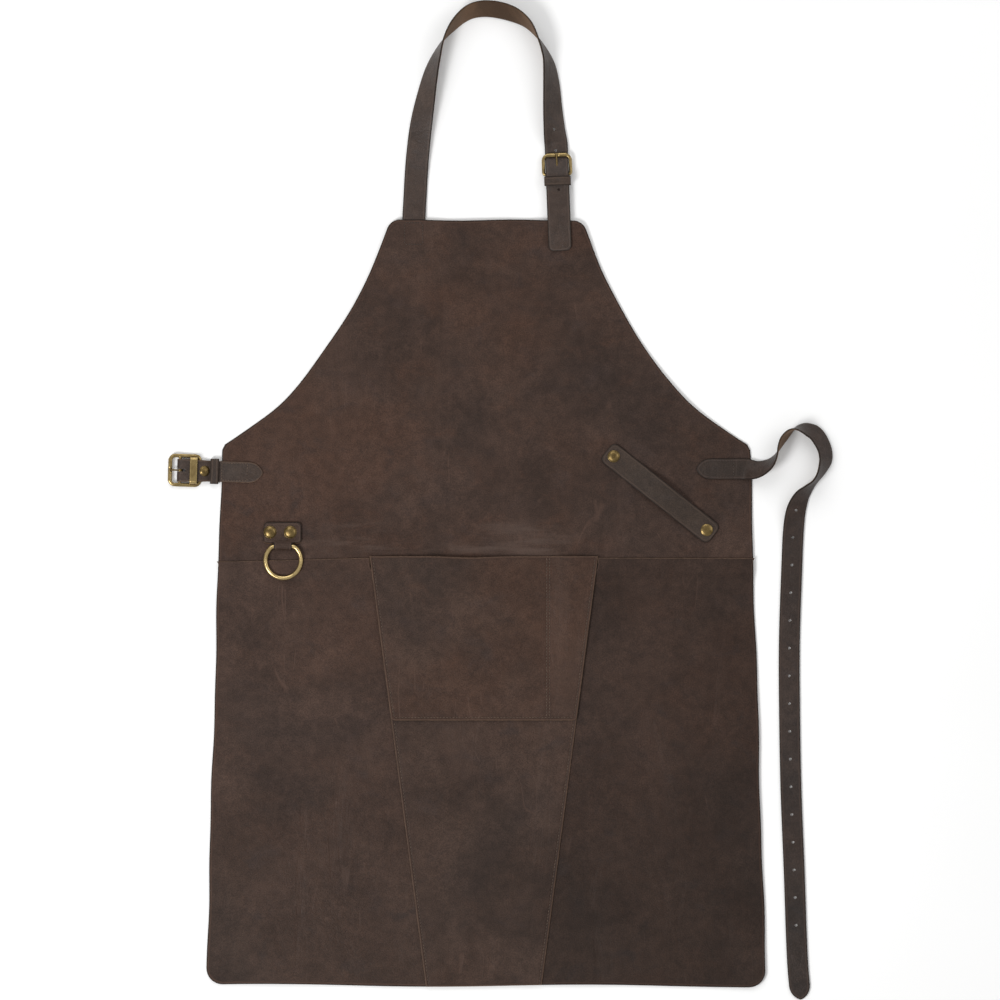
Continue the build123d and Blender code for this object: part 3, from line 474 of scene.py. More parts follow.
def grid_faces(rows, columns, closed):
    """Quads of a grid of points, with the rows joined end to end if closed."""
    count = rows if closed else rows - 1
    first = np.arange(count)[:, None] * columns + np.arange(columns - 1)[None, :]
    after = (np.arange(count)[:, None] + 1) % rows * columns + np.arange(columns - 1)[None, :]
    return np.stack([first, first + 1, after + 1, after], axis=-1).reshape(-1, 4)


def rim_loop(rows, columns, closed):
    """Indices round the outside of the grid, as one loop or two."""
    left = np.arange(rows) * columns
    right = left + columns - 1
    if closed:
        return [left, right[::-1]]
    return [np.concatenate([np.arange(columns), right[1:], np.arange(columns - 2, -1, -1) + left[-1],
                            left[-2:0:-1]])]


def edge_distance(grid, loops):
    """Distance of each flat point from the outline of the cut."""
    samples = []
    for loop in loops:
        ring = grid.reshape(-1, 2)[loop]
        ahead = np.roll(ring, -1, axis=0)
        for a, b in zip(ring, ahead):
            count = max(1, min(60, int(math.dist(a, b) / 0.15)))
            samples.append(a + (b - a) * np.arange(count)[:, None] / count)
    samples = np.vstack(samples)
    tree = KDTree(len(samples))
    for index, (u, v) in enumerate(samples):
        tree.insert((u, v, 0), index)
    tree.balance()
    return np.array([tree.find((u, v, 0))[2] for u, v in grid.reshape(-1, 2)]).reshape(grid.shape[:2])


def sheet_object(name, grid, place, thickness, materials, closed=False, relief=None, rounding=EDGE_ROUND,
                 seam=np.inf):
    """Leather cut to a grid of flat points, bent by place, with rounded edges and a rim.

    materials are grain side, cut edge, flesh side and, where v is beyond seam, the edge along a seam.
    relief(u, v) moves the grain side out.
    """
    rows, columns = grid.shape[:2]
    u, v = grid[..., 0], grid[..., 1]
    loops = rim_loop(rows, columns, closed)
    distance = np.minimum(v - v.min(), v.max() - v) if closed else edge_distance(grid, loops)
    radius = min(rounding, thickness / 2)
    inner = np.clip(radius - distance, 0, radius)
    half = thickness / 2 - (radius - np.sqrt(radius**2 - inner**2))
    points, normals = place(u, v)
    lift = relief(u, v) if relief else 0.0
    upper = points + normals * (half + lift)[..., None]
    lower = points - normals * half[..., None]
    vertices = np.concatenate([upper.reshape(-1, 3), lower.reshape(-1, 3)])
    top = grid_faces(rows, columns, closed)
    base = rows * columns
    faces = [top[:, ::-1], top + base]
    for loop in loops:
        after = np.roll(loop, -1)
        faces.append(np.stack([loop, after, after + base, loop + base], axis=-1))
    worn = (distance.ravel()[top] < WORN).all(axis=1)
    sewn = v > seam
    edge_kind = np.where(sewn.ravel()[top].any(axis=1), 3, 1)
    indices = [np.where(worn, edge_kind, 0), np.full(len(top), 2), np.full(sum(map(len, loops)), 1)]
    piece = new_object(name, vertices, np.concatenate(faces).tolist(), materials, 50,
                       np.concatenate(indices).astype(np.int32))
    border = np.where(sewn, BORDER_MOST, np.minimum(distance / BORDER_UNIT, BORDER_MOST))
    attribute = piece.data.attributes.new("border", "FLOAT", "POINT")
    attribute.data.foreach_set("value", np.tile(border.ravel(), 2).astype(np.float32))
    return piece


def apply_modifiers(piece):
    """Replaces the mesh with what its modifiers make of it."""
    graph = bpy.context.evaluated_depsgraph_get()
    graph.update()
    made = bpy.data.meshes.new_from_object(piece.evaluated_get(graph))
    piece.modifiers.clear()
    piece.data = made


def reshape(piece, change):
    """Moves the points of a piece, which change takes and returns in millimetres."""
    points = change(np.array([vertex.co for vertex in piece.data.vertices]) / MM)
    piece.data.vertices.foreach_set("co", (points * MM).ravel())
    piece.data.update()


def ring_faces(count, sides, closed=False):
    """Faces between rings of points, with the first and last ring filled unless they meet."""
    faces = []
    for i in range(count if closed else count - 1):
        j = (i + 1) % count
        faces += [[i * sides + k, i * sides + (k + 1) % sides, j * sides + (k + 1) % sides, j * sides + k]
                  for k in range(sides)]
    if not closed:
        faces += [list(range(sides))[::-1], [(count - 1) * sides + k for k in range(sides)]]
    return faces


def prism(outline, low, high):
    """Vertices and faces of an upright solid."""
    return [(x, y, z) for z in (low, high) for x, y in outline], ring_faces(2, len(outline))


def joined(parts):
    """Several (vertices, faces) as one."""
    vertices, faces, start = [], [], 0
    for part_vertices, part_faces in parts:
        vertices.append(np.asarray(part_vertices, float))
        faces += [[i + start for i in face] for face in part_faces]
        start += len(part_vertices)
    return np.vstack(vertices), faces


def hole_cutter(places, high):
    """Cutter for the adjustment holes of a strap that lies below high."""
    return new_object("holes", *joined(prism(arc(xy, HOLE, 0, 342, 20), -1, high) for xy in places), [EDGE])


def cut(piece, cutter):
    """Takes cutter out of piece."""
    bool_cut = piece.modifiers.new("cut", "BOOLEAN")
    bool_cut.operation, bool_cut.solver, bool_cut.object = "DIFFERENCE", "EXACT", cutter
    bool_cut.material_mode = "TRANSFER"
    apply_modifiers(piece)
    piece.data.set_sharp_from_angle(angle=math.radians(45))
    bpy.data.objects.remove(cutter)
    outward(piece)


def tube(points, radii, sides, closed=False, flat=(1.0, 1.0)):
    """Vertices and faces of a tube along points. radii is one radius or one for each point."""
    points = np.array(points, float)
    if closed:
        tangents = unit(np.roll(points, -1, axis=0) - np.roll(points, 1, axis=0))
    else:
        tangents = unit(np.gradient(points, axis=0))
    up = np.array([0.0, 0.0, 1.0])
    side = unit(np.cross(tangents, up))
    rise = np.cross(side, tangents)
    radii = np.broadcast_to(np.asarray(radii, float), len(points))
    angles = np.linspace(0, 2 * math.pi, sides, endpoint=False)
    ring = (side[:, None] * np.cos(angles)[None, :, None] * flat[0]
            + rise[:, None] * np.sin(angles)[None, :, None] * flat[1])
    vertices = (points[:, None] + ring * radii[:, None, None]).reshape(-1, 3)
    return vertices, ring_faces(len(points), sides, closed)


def cast(name, parts, voxel, material, smoothing):
    """One cast piece: overlapping shapes fused and softened."""
    piece = new_object(name, *joined(parts), [material])
    fuse = piece.modifiers.new("fuse", "REMESH")
    fuse.mode, fuse.voxel_size, fuse.adaptivity = "VOXEL", voxel * MM, 0.0
    soften = piece.modifiers.new("soften", "SMOOTH")
    soften.factor, soften.iterations = 0.5, smoothing
    apply_modifiers(piece)
    piece.data.shade_smooth()
    return piece


# ---------------------------------------------------------------- how the body lies

def rounded_corner(before, corner, after, radius):
    """Arc that rounds a corner between two directions."""
    before, corner, after = (np.array(p, float) for p in (before, corner, after))
    first, second = unit(before - corner), unit(after - corner)
    inside = math.acos(np.clip(first @ second, -1, 1))
    reach = radius / math.tan(inside / 2)
    a, b, weight = corner + first * reach, corner + second * reach, math.sin(inside / 2)
    t = np.linspace(0, 1, 10)[:, None]
    blend = (1 - t)**2, 2 * weight * t * (1 - t), t**2
    return (blend[0] * a + blend[1] * corner + blend[2] * b) / sum(blend)


def half_outline():
    """Right half of the body's outline from the neck edge to the hem, measured from its centre line."""
    armhole = smooth([(NECK_HALF, NECK_Y), *ARMHOLE, (WAIST_HALF, WAIST_CORNER_Y)], 4.0)
    side_top, side_end = (WAIST_HALF, WAIST_CORNER_Y), (HEM_HALF, HEM_Y)
    neck = rounded_corner((0, NECK_Y), armhole[0], armhole[4], NECK_CORNER)
    waist = rounded_corner(armhole[-5], side_top, side_end, WAIST_CORNER)
    hem = rounded_corner(side_top, side_end, (0, HEM_Y), HEM_CORNER)
    middle = [p for p in armhole if neck[-1][1] > p[1] > waist[0][1]]
    return np.vstack([neck, middle, waist, hem])


OUTLINE = half_outline()


def body_half(y):
    return np.interp(-np.asarray(y, float), -OUTLINE[:, 1], OUTLINE[:, 0])


def centre_x(side, y):
    """X of the centre panel's left (0) or right (1) edge."""
    part = (MOUTH_Y - np.asarray(y, float)) / (MOUTH_Y - HEM_Y)
    return CENTRE_TOP[side] + part * (CENTRE_HEM[side] - CENTRE_TOP[side])


# Places (x, y, reach) that lie flat: the ring tab, the towel rivets and the sewn ends of the straps.
QUIET = [(-238, -45, 45), (125, 48, 22), (227, -33, 22), (-300, 33, 70), (250, 34, 60), (-95, 295, 40),
         (66, 290, 45)]


def swell(x, y):
    """How far the leather stands off the table where it doesn't lie quite flat."""
    x, y = np.asarray(x, float), np.asarray(y, float)
    waves = (0.55 * np.sin(x / 47 + y / 90 + 0.6) + 0.5 * np.sin(y / 61 - x / 120 + 2.1)
             + 0.4 * np.sin(x / 29 - y / 43 + 4.0) + 0.25 * np.sin(x / 17 + y / 23 + 1.0))
    height = 0.85 * (waves + 1.7)
    for place_x, place_y, reach in QUIET:
        height = height * step_between(np.hypot(x - place_x, y - place_y), reach * 0.45, reach * 1.5)
    return height


def drift(x, y):
    """Small sideways wander of the edges, as hand-cut and used leather has."""
    x, y = np.asarray(x, float), np.asarray(y, float)
    low = step_between(-y, 380, 530)
    out_y = -low * (1.3 * np.cos(2 * math.pi * (x + 79) / 352) + 0.0022 * x + 0.3)
    neck = step_between(y, 255, 305)
    out_y = out_y + neck * 0.6 * np.sin(x / 19 + 0.8)
    edge = step_between(abs(x - AXIS_X) / np.maximum(body_half(y), 1), 0.8, 1.0)
    out_x = edge * (0.7 * np.sin(y / 38 + 1.0) + 0.35 * np.sin(y / 15))
    return out_x, out_y


STRAP_ENDS_X = (NECK_ROUTE[0][0], 65.6)


def bib_rise(x, y):
    """The bib lies over the ends of the neck strap and of the neck buckle's tab."""
    over = np.zeros(np.shape(x))
    for strap_x in STRAP_ENDS_X:
        over = np.maximum(over, 1 - step_between(abs(x - strap_x), 13.5, 44))
    raised = UNDER_BIB_Z + STRAP
    fold = 1.1 * np.exp(-((y + 45 - x * 0.02) / 6.5)**2) * step_between(100 - abs(x + 10), 0, 60)
    return raised * (0.3 + 0.7 * over) * step_between(y, 252, 281) + fold


def surface(lowest):
    """Place function of a panel whose underside is at lowest(x, y) before the leather's swell."""
    def height(x, y):
        return lowest(x, y) + swell(x, y) + PANEL / 2

    def place(x, y):
        gap = 0.5
        slope_x = (height(x + gap, y) - height(x - gap, y)) / (2 * gap)
        slope_y = (height(x, y + gap) - height(x, y - gap)) / (2 * gap)
        normals = unit(np.stack([-slope_x, -slope_y, np.ones(np.shape(x))], axis=-1))
        out_x, out_y = drift(x, y)
        return np.stack([x + out_x, y + out_y, height(x, y)], axis=-1), normals
    return place


# ---------------------------------------------------------------- panels

def panel_grid(rows, left, right, insets, step=6.0, between=()):
    """Grid from left(y) to right(y), with columns at fixed distances inside both edges.

    A column is (a, b, c): a of the left edge's x, b of the right edge's, plus c.
    """
    anchors = [(1, 0, d) for d in insets] + list(between) + [(0, 1, -d) for d in reversed(insets)]
    anchors = np.array(anchors, float)
    edges = np.array([(left(y), right(y), 1.0) for y in rows])
    widest = (edges[:, 1] - edges[:, 0]).max()
    columns = []
    for first, second in zip(anchors, anchors[1:]):
        gap = min(widest, abs(edges[[0, -1]] @ (second - first)).max())
        count = max(1, math.ceil(gap / step))
        columns += [first + (second - first) * k / count for k in range(count)]
    x = edges @ np.array(columns + [anchors[-1]]).T
    return np.stack([x, np.broadcast_to(rows[:, None], x.shape)], axis=-1)


def groove(distance):
    """Depth of the furrow, 2 mm wide, that a row of stitches pulls in."""
    return -0.28 * np.clip(1 - distance**2, 0, 1)


def centre_inset(x, y):
    """Distance inside the nearer edge of the centre panel and pocket."""
    return np.minimum(x - centre_x(0, y), centre_x(1, y) - x)


def make_panel(name, node, grid, place, width, materials, held="laid", rests_on=("floor",), **shape):
    """One of the thin pieces of the body, whose rows run down from its highest edge."""
    piece = sheet_object(name + "_leather", grid, place, PANEL, materials, **shape)
    assign(piece, node)


def make_bib():
    """Bib, whose rows are closest where it climbs over the ends of the neck strap and tab."""
    rows = lattice(BIB_BOTTOM_Y, NECK_Y, 6.0, [(266, 16, 3.0), (300, 8, 2.5)], LAPPED_INSETS)[::-1]
    grid = panel_grid(rows, lambda y: AXIS_X - body_half(y), lambda y: AXIS_X + body_half(y), PLAIN_INSETS)
    # Place of the painted sheen, a band just above the pocket, in metres.
    smeared = (-0.26, 0.10), (-0.068, -0.016)
    make_panel("bib", "bib_panel", grid, surface(bib_rise), 2 * WAIST_HALF + 5,
               leather_set("bib", BODY, (0, 0, 0), smeared=smeared, warm=0.6))


def over_bib(_, y):
    """Skirt panels climb over the bib's lower strip, and their edge stands a little proud of it."""
    return (PANEL + 0.5) * step_between(y, BIB_BOTTOM_Y - RISE_RUN, BIB_BOTTOM_Y)


def make_skirt_side(side):
    """Left (0) or right (1) skirt panel, which runs on under the centre panel below the bib."""
    # Painted light and shade: the left panel's tone is raised and the right one's lowered, for light that
    # falls from the left.
    sign, name, painted_lighting = ((-1, "skirt_left", 1.06), (1, "skirt_right", 0.74))[side]
    flat_place = surface(over_bib)

    def outer(y):
        return AXIS_X + sign * body_half(y)

    def inner(y):
        under = step_between(-y, -SEAM_Y + LAP - 4, -SEAM_Y + LAP + 10)
        return centre_x(side, y) + sign * (0.3 - (LAP + 0.3) * under)

    def place(x, y):
        """The seam edge drops towards the side, and its corner stands out a little."""
        outwards = np.clip(sign * (x - centre_x(side, SEAM_Y)) / 150, 0, 1)
        drop = SEAM_DROPS[side] * outwards * step_between(y, SEAM_Y - 60, SEAM_Y)
        points, normals = flat_place(x, y - drop)
        bump = 1.6 * np.exp(-((x - outer(y)) / 2.5)**2) * step_between(y, SEAM_Y - 3, SEAM_Y)
        points[..., 0] += sign * bump
        return points, normals

    rows = lattice(HEM_Y, SEAM_Y, 6.0, [(BIB_BOTTOM_Y - 6, 10, 2.0)], LAPPED_INSETS + (18,))[::-1]
    grid = panel_grid(rows, *((outer, inner) if side == 0 else (inner, outer)), PLAIN_INSETS)
    # Darker towards the hem: painted shade.
    materials = leather_set(name, shade(BODY, painted_lighting), (3 + side, 2, 1), warm=0.35,
                            soiled=[("Y", -0.20, -0.46, 0.8, LOW_SHADE)])
    width = np.ptp(grid[..., 0], axis=1).max()
    make_panel(name, name + "_panel", grid, place, width, materials + [EDGE], seam=SEAM_Y - 5)


def make_skirt_centre():
    """Centre panel, lapped over both side panels and sewn down along its edges."""
    rows = lattice(HEM_Y, MOUTH_Y - 5, 6.0)[::-1]
    grid = panel_grid(rows, lambda y: centre_x(0, y), lambda y: centre_x(1, y), SEWN_INSETS)

    def relief(x, y):
        return groove(centre_inset(x, y) - STITCH_INSET) * (y < POCKET_BOTTOM_Y)

    def lowest(x, y):
        return PANEL - 0.7 * step_between(centre_inset(x, y), LAP - 2, LAP + 24)

    materials = leather_set("skirt_centre", shade(BODY, 0.90, 0.93, 0.94), (7, 5, 2), True, warm=0.3)
    piece = sheet_object("skirt_centre_leather", grid, surface(lowest), PANEL, materials, relief=relief)
    assign(piece, "skirt_centre_panel")


def make_pocket():
    """Pocket front: sewn down round its sides, bottom and divider, and standing off at its mouth."""
    corner = 4.0
    rows = lattice(POCKET_BOTTOM_Y, MOUTH_Y, 5.0, [(POCKET_BOTTOM_Y + STITCH_INSET, 1.0, 0.5)])[::-1]

    def tuck(y):
        low = np.clip(POCKET_BOTTOM_Y + corner - y, 0, corner)
        return corner - np.sqrt(corner**2 - low**2)

    divider = [(0, 0, DIVIDER_X + d) for d in (-5, -3.2, -2.4, -1.6, -0.8, 0, 0.8, 1.6, 2.4, 3.2, 5)]
    grid = panel_grid(rows, lambda y: centre_x(0, y) + tuck(y), lambda y: centre_x(1, y) - tuck(y),
                      SEWN_INSETS, 5.0, divider)

    def relief(x, y):
        """Furrows along the sides, the bottom and the two rows of the divider."""
        sides = abs(centre_inset(x, y) - STITCH_INSET)
        bottom = abs(y - POCKET_BOTTOM_Y - STITCH_INSET)
        halves = abs(abs(x - DIVIDER_X) - DIVIDER_HALF)
        return groove(np.minimum(np.minimum(sides, bottom), halves))

    def lowest(x, y):
        left, right = centre_x(0, y) + 6, centre_x(1, y) - 6
        main = np.clip((x - left) / (DIVIDER_X - 5 - left), 0, 1)
        pen = np.clip((x - DIVIDER_X - 5) / (right - DIVIDER_X - 5), 0, 1)
        bulge = 4.2 * np.sin(math.pi * main)**1.3 + 2.2 * np.sin(math.pi * pen)**1.3
        return 2 * PANEL + bulge * (0.12 + 0.88 * step_between(y, POCKET_BOTTOM_Y + 8, MOUTH_Y))

    flat_place = surface(lowest)

    def place(x, y):
        """The mouth sags a little where the pocket stands off most."""
        points, normals = flat_place(x, y)
        points[..., 1] -= 1.5 * np.exp(-((x + 32) / 26)**2) * step_between(y, MOUTH_Y - 25, MOUTH_Y)
        return points, normals

    make_panel("pocket", "centre_pocket", grid, place, CENTRE_TOP[1] - CENTRE_TOP[0],
               leather_set("pocket", shade(BODY, 1.02, 1.02, 1.0), (11, 3, 4), True, warm=0.45),
               "stretched", ["skirt_centre_leather"], relief=relief)
    return place


# ---------------------------------------------------------------- straps

def frames_on(points, across):
    """Distance along a path and its frame, for a strap whose width runs along across."""
    points = np.array(points, float)
    across = np.broadcast_to(np.array(across, float), points.shape)
    along = unit(np.gradient(points, axis=0))
    return arc_length(points), points, across, unit(np.cross(across, along))


def route_frames(stations, width):
    """Frame of a strap along stations of x, y, lean and the height of its lowest edge."""
    samples = smooth(stations, 2.0)
    x, y, lean, rest = samples.T
    heading = np.arctan2(np.gradient(y), np.gradient(x))
    tilt = np.radians(lean)
    z = np.maximum(rest, 0) + (width * abs(np.sin(tilt)) + STRAP * abs(np.cos(tilt))) / 2
    zero = np.zeros(len(x))
    right = np.stack([np.sin(heading), -np.cos(heading), zero], axis=1)
    across = right * np.cos(tilt)[:, None] + np.stack([zero, zero, np.sin(tilt)], axis=1)
    return frames_on(np.stack([x, y, z], axis=1), across)


def strap_place(frames, on_body=None):
    """Place function of a strap: u along it and v across it."""
    distance, centre, across, normal = frames

    def at(values, u):
        return np.stack([np.interp(u, distance, values[:, k]) for k in range(3)], axis=-1)

    def place(u, v):
        side, out = unit(at(across, u)), unit(at(normal, u))
        points = at(centre, u) + side * v[..., None]
        if on_body is not None:
            points[..., 2] += swell(points[..., 0], points[..., 1]) * on_body(u)
        return points, out
    return place


def strap_grid(length, edges, step, fine=(), ends=PLAIN_INSETS, columns=7):
    """Grid of a strap whose two edges are edges(u) = (lowest v, highest v)."""
    insets = np.array([0, 0.12, 0.35, 0.7, 1.6])
    grid = []
    for u in lattice(0, length, step, fine, ends):
        low, high = edges(u)
        scale = min(1, (high - low) / 8)
        near, far = low + insets * scale, high - insets[::-1] * scale
        middle = near[-1] + (far[0] - near[-1]) * np.arange(1, columns) / columns
        grid.append([(u, v) for v in np.concatenate([near, middle, far])])
    return np.array(grid)


def point_profile(t):
    """Half width of a pointed strap end, as a share, at t from 0 at the tip to 1."""
    return (1 - (1 - np.clip(t, 0, 1))**2.3)**0.72


def round_profile(distance, half, radius):
    """Half width near an end whose corners are rounded."""
    inside = np.clip(radius - distance, 0, radius)
    return half - (radius - np.sqrt(np.maximum(radius**2 - inside**2, 0)))


def make_strap(name, frames, half_width, step, ends, materials, on_body=None,
               cutter=None):
    """A strap or tab of thick leather, half_width(u) wide to either side of its middle line."""
    length = frames[0][-1]

    def edges(u):
        half = max(half_width(u), 0.05)
        return -half, half

    grid = strap_grid(length, edges, step, ends=ends)
    piece = sheet_object(name + "_leather", grid, strap_place(frames, on_body), STRAP, materials)
    if cutter:
        cut(piece, cutter)
    assign(piece, name)


def make_neck_strap():
    """Neck strap from behind the bib, round the loop, through the buckle and over the bib."""
    buckle = turned([(along, 0, 0) for along, _ in NECK_BUCKLE_PART], NECK_TURN, NECK_BUCKLE)
    heights = [height for _, height in NECK_BUCKLE_PART]
    stations = NECK_ROUTE + [(x, y, 0, height) for (x, y, _), height in zip(buckle, heights)]
    frames = route_frames(stations, NECK_WIDTH)
    length, half = frames[0][-1], NECK_WIDTH / 2 - 0.3
    # Darker towards the lower ends of its legs.
    materials = leather_set("neck_strap", shade(STRAPS, 1.17), (0, 9, 2), cloud=1.6, contrast=0.9, marks=0.8,
                            warm=0.2, gloss=0.8, soiled=[("Y", 0.45, 0.37, 1.0, NECK_LEG_DARKENING)])
    make_strap("neck_strap", frames, lambda u: round_profile(length - u, half, 6.0), 3.0,
               TIP_STEPS[:9], materials,
               cutter=hole_cutter(NECK_HOLES, 24))


def make_waist_strap():
    """Waist strap with its curl and a row of adjustment holes."""
    frames = route_frames(WAIST_ROUTE, WAIST_WIDTH)
    distance, points = frames[:2]
    length, half = distance[-1], WAIST_WIDTH / 2
    at = length - LAST_HOLE - HOLE_PITCH * np.arange(HOLE_COUNT)
    holes = [(np.interp(u, distance, points[:, 0]), np.interp(u, distance, points[:, 1])) for u in at]
    # Painted shade: darker towards the hem, and on the end sewn on the bib.
    soiled = [("Y", -0.30, -0.50, 0.8, LOW_SHADE), ("X", 0.29, 0.26, 1.0, END_SHADE)]
    materials = leather_set("waist_strap", shade(STRAPS, 0.84, 0.775, 0.755), (4, 1, 8), soiled=soiled,
                            cloud=1.5, marks=0.9, warm=0.2, gloss=0.5)

    def half_width(u):
        return half * point_profile(u / POINT) * point_profile((length - u) / POINT)

    make_strap("waist_strap", frames, half_width, 3.0, TIP_STEPS,
               materials, lambda u: 1 - step_between(u, 38, 60),
               hole_cutter(holes, 10))


def eased(points, step, passes=3):
    """Path with its corners softened."""
    points = np.array(points, float)
    distance = arc_length(points)
    at = np.linspace(0, distance[-1], round(distance[-1] / step))
    path = np.stack([np.interp(at, distance, points[:, k]) for k in range(2)], axis=1)
    for _ in range(passes):
        path[1:-1] = (path[:-2] + 2 * path[1:-1] + path[2:]) / 4
    return path


def local_frames(path, turn, place, across):
    """Frames of a tab whose (along, z) path lies in a buckle's own layout."""
    points = turned([(along, 0, z) for along, z in path], turn, place)
    return frames_on(points, turned((0, across, 0), turn, (0, 0)))


def prong_slot(turn, place, bottom, top):
    """Cutter for the slot that a prong leaves its tab through."""
    half, start, end = 1.45, -10, 6.2
    round_end = arc((end - half, 0), half, -math.degrees(1.3), math.degrees(1.3), 7)
    outline = [(start, -half), (end - half, -half), *round_end, (end - half, half), (start, half)]
    vertices, faces = prism(outline, bottom, top)
    return new_object("slot", turned(vertices, turn, place), faces, [EDGE])


def make_waist_tab():
    """Pointed tab, sewn on the bib and folded round the buckle's centre bar."""
    middle, half = STRAP / 2, WAIST_WIDTH / 2
    lower = [(29.2, 0.7 + middle), (22.7, 3.4 + middle), (19, 3.35 + middle), (6, 0.15 + middle)]
    upper = [(22.7, UPPER_LAYER_Z + middle), (32, PANEL + middle), (91.2, PANEL + middle)]
    fold = arc((0, WAIST_BAR_Z), FOLD + middle, 270, 90, 17)
    frames = local_frames(eased(lower + fold + upper, 1.2), WAIST_TURN, WAIST_BUCKLE, -1)
    length = frames[0][-1]
    spread = [(0, 0.2), (22, 0.9), (38, 1.0), (52, 0.1), (56, 0)]     # extra half width at u
    materials = leather_set("waist_tab", shade(STRAPS, 1.10, 1.03, 0.97), (6, 6, 3), True, cloud=2, warm=0.2,
                            gloss=0.5)
    make_strap("waist_tab", frames,
               lambda u: (half + np.interp(u, *zip(*spread))) * point_profile((length - u) / POINT),
               1.6, TIP_STEPS, materials,
               lambda u: step_between(u, length - 58, length - 40),
               prong_slot(WAIST_TURN, WAIST_BUCKLE, -2, WAIST_BAR_Z + 4.5))


def make_neck_tab():
    """Plain tab from behind the bib, folded round the neck buckle's heel bar."""
    middle, half = STRAP / 2, 12.5
    second = UNDER_BIB_Z + STRAP + GLUE + middle
    fold = arc((0, NECK_BAR_Z), FOLD + middle, 90, 270, 17)
    path = eased([(27, second), (15, second), *fold, (78, UNDER_BIB_Z + middle)], 1.2)
    materials = leather_set("neck_tab", shade(STRAPS, 0.89, 0.77, 0.73), (2, 4, 9), True, cloud=2,
                            contrast=1.3, warm=0.2, gloss=0.4)
    make_strap("neck_tab", local_frames(path, NECK_TURN, NECK_BUCKLE, 1), lambda u: half, 1.6,
               PLAIN_INSETS, materials,
               cutter=prong_slot(NECK_TURN, NECK_BUCKLE, 0.5, NECK_BAR_Z + 4.5))


RING_LOW, RING_HIGH = corners("tool_ring")
RING_WIRE = 2.5
RING_FOLD = RING_WIRE + 0.08
RING_BAR_Y, RING_BAR_Z = -51.2, 2 * PANEL + RING_FOLD
RING_X = (RING_LOW[0] + RING_HIGH[0]) / 2


def make_ring_tab():
    """Plate of two layers whose narrow neck folds round the ring."""
    middle = PANEL / 2
    (plate_left, _, _), (plate_right, top_y, _) = corners("ring_tab")
    plate_half, plate_x = (plate_right - plate_left) / 2, (plate_right + plate_left) / 2
    plate_length, plate_corner, neck_half = 23.8, 4.5, 9.9
    shift = RING_X - plate_x - 0.5                                    # of the neck from the plate's middle
    back, front = PANEL + middle, 2 * PANEL + GLUE + middle
    bar = (RING_BAR_Y, RING_BAR_Z)
    climb = [(RING_BAR_Y + 2.2, RING_BAR_Z + 2.1 + middle), (RING_BAR_Y + 7.6, front + 0.15),
             (RING_BAR_Y + 9, front)]
    fold = arc(bar, RING_FOLD + middle, 270, 90, 17)
    path = eased([(top_y, back), (RING_BAR_Y + 1, back)] + fold + climb + [(top_y, front)], 0.8, 2)
    away = np.linalg.norm(path - bar, axis=1, keepdims=True)
    path = bar + (path - bar) * np.maximum(1, (RING_FOLD + middle + 0.04) / away)
    frames = frames_on([(plate_x, y, z) for y, z in path], (1, 0, 0))
    length = frames[0][-1]

    def edges(u):
        from_end = min(u, length - u)
        if from_end < plate_length:
            wide = min(round_profile(from_end, plate_half, plate_corner),
                       round_profile(plate_length - from_end, plate_half, plate_corner))
        else:
            wide = plate_half - plate_corner
        neck = step_between(from_end, plate_length - 0.8, plate_length + 0.9)
        half = wide + (neck_half - wide) * neck
        return shift * neck - half, shift * neck + half

    bent = strap_place(frames)

    def place(u, v):
        """The front plate's lower corners stay flat beside the neck, which climbs over the ring."""
        points, normals = bent(u, v)
        aside = step_between(abs(v - shift), 10.3, 12.4) * (u > length / 2)
        points[..., 2] -= aside * np.maximum(points[..., 2] - front, 0)
        normals = unit(normals * (1 - aside)[..., None] + aside[..., None] * (0, 0, 1))
        return points, normals

    fine = [(plate_length, 5.0, 0.4), (length - plate_length, 5.0, 0.4)]
    grid = strap_grid(length, edges, 1.2, fine, TIP_STEPS[:9], 14)
    tone = [(a + b) / 2 for a, b in zip(STRAPS, BODY)]
    piece = sheet_object("ring_tab_leather", grid, place, PANEL,
                         leather_set("ring_tab", tone, (9, 9, 1), cloud=2, warm=0.4))
    assign(piece, "ring_tab")


TOWEL_ENDS = [(125.1, 48.0), (227.5, -33.0)]


def make_towel_strap():
    """Strap riveted flat at both ends and bowed up between them."""
    width, beyond, rise = 25.8, 10.0, 5.4
    span = math.dist(*TOWEL_ENDS)
    flat = span / 2 - 9
    along = np.linspace(-span / 2 - beyond, span / 2 + beyond, 120)
    z = PANEL + STRAP / 2 + rise * (1 + np.cos(math.pi * np.clip(along / flat, -1, 1))) / 2
    (x0, y0), (x1, y1) = TOWEL_ENDS
    turn = math.degrees(math.atan2(y1 - y0, x1 - x0))
    frames = local_frames(zip(along, z), turn, ((x0 + x1) / 2, (y0 + y1) / 2), -1)
    length = frames[0][-1]
    materials = leather_set("towel_strap", shade(STRAPS, 0.97, 0.92, 0.85), (5, 8, 5), cloud=1.6,
                            contrast=0.6, marks=0.6, warm=0.2, gloss=0.3)
    make_strap("towel_strap", frames, lambda u: round_profile(min(u, length - u), width / 2, 7.0),
               2.0, TIP_STEPS[:10], materials)


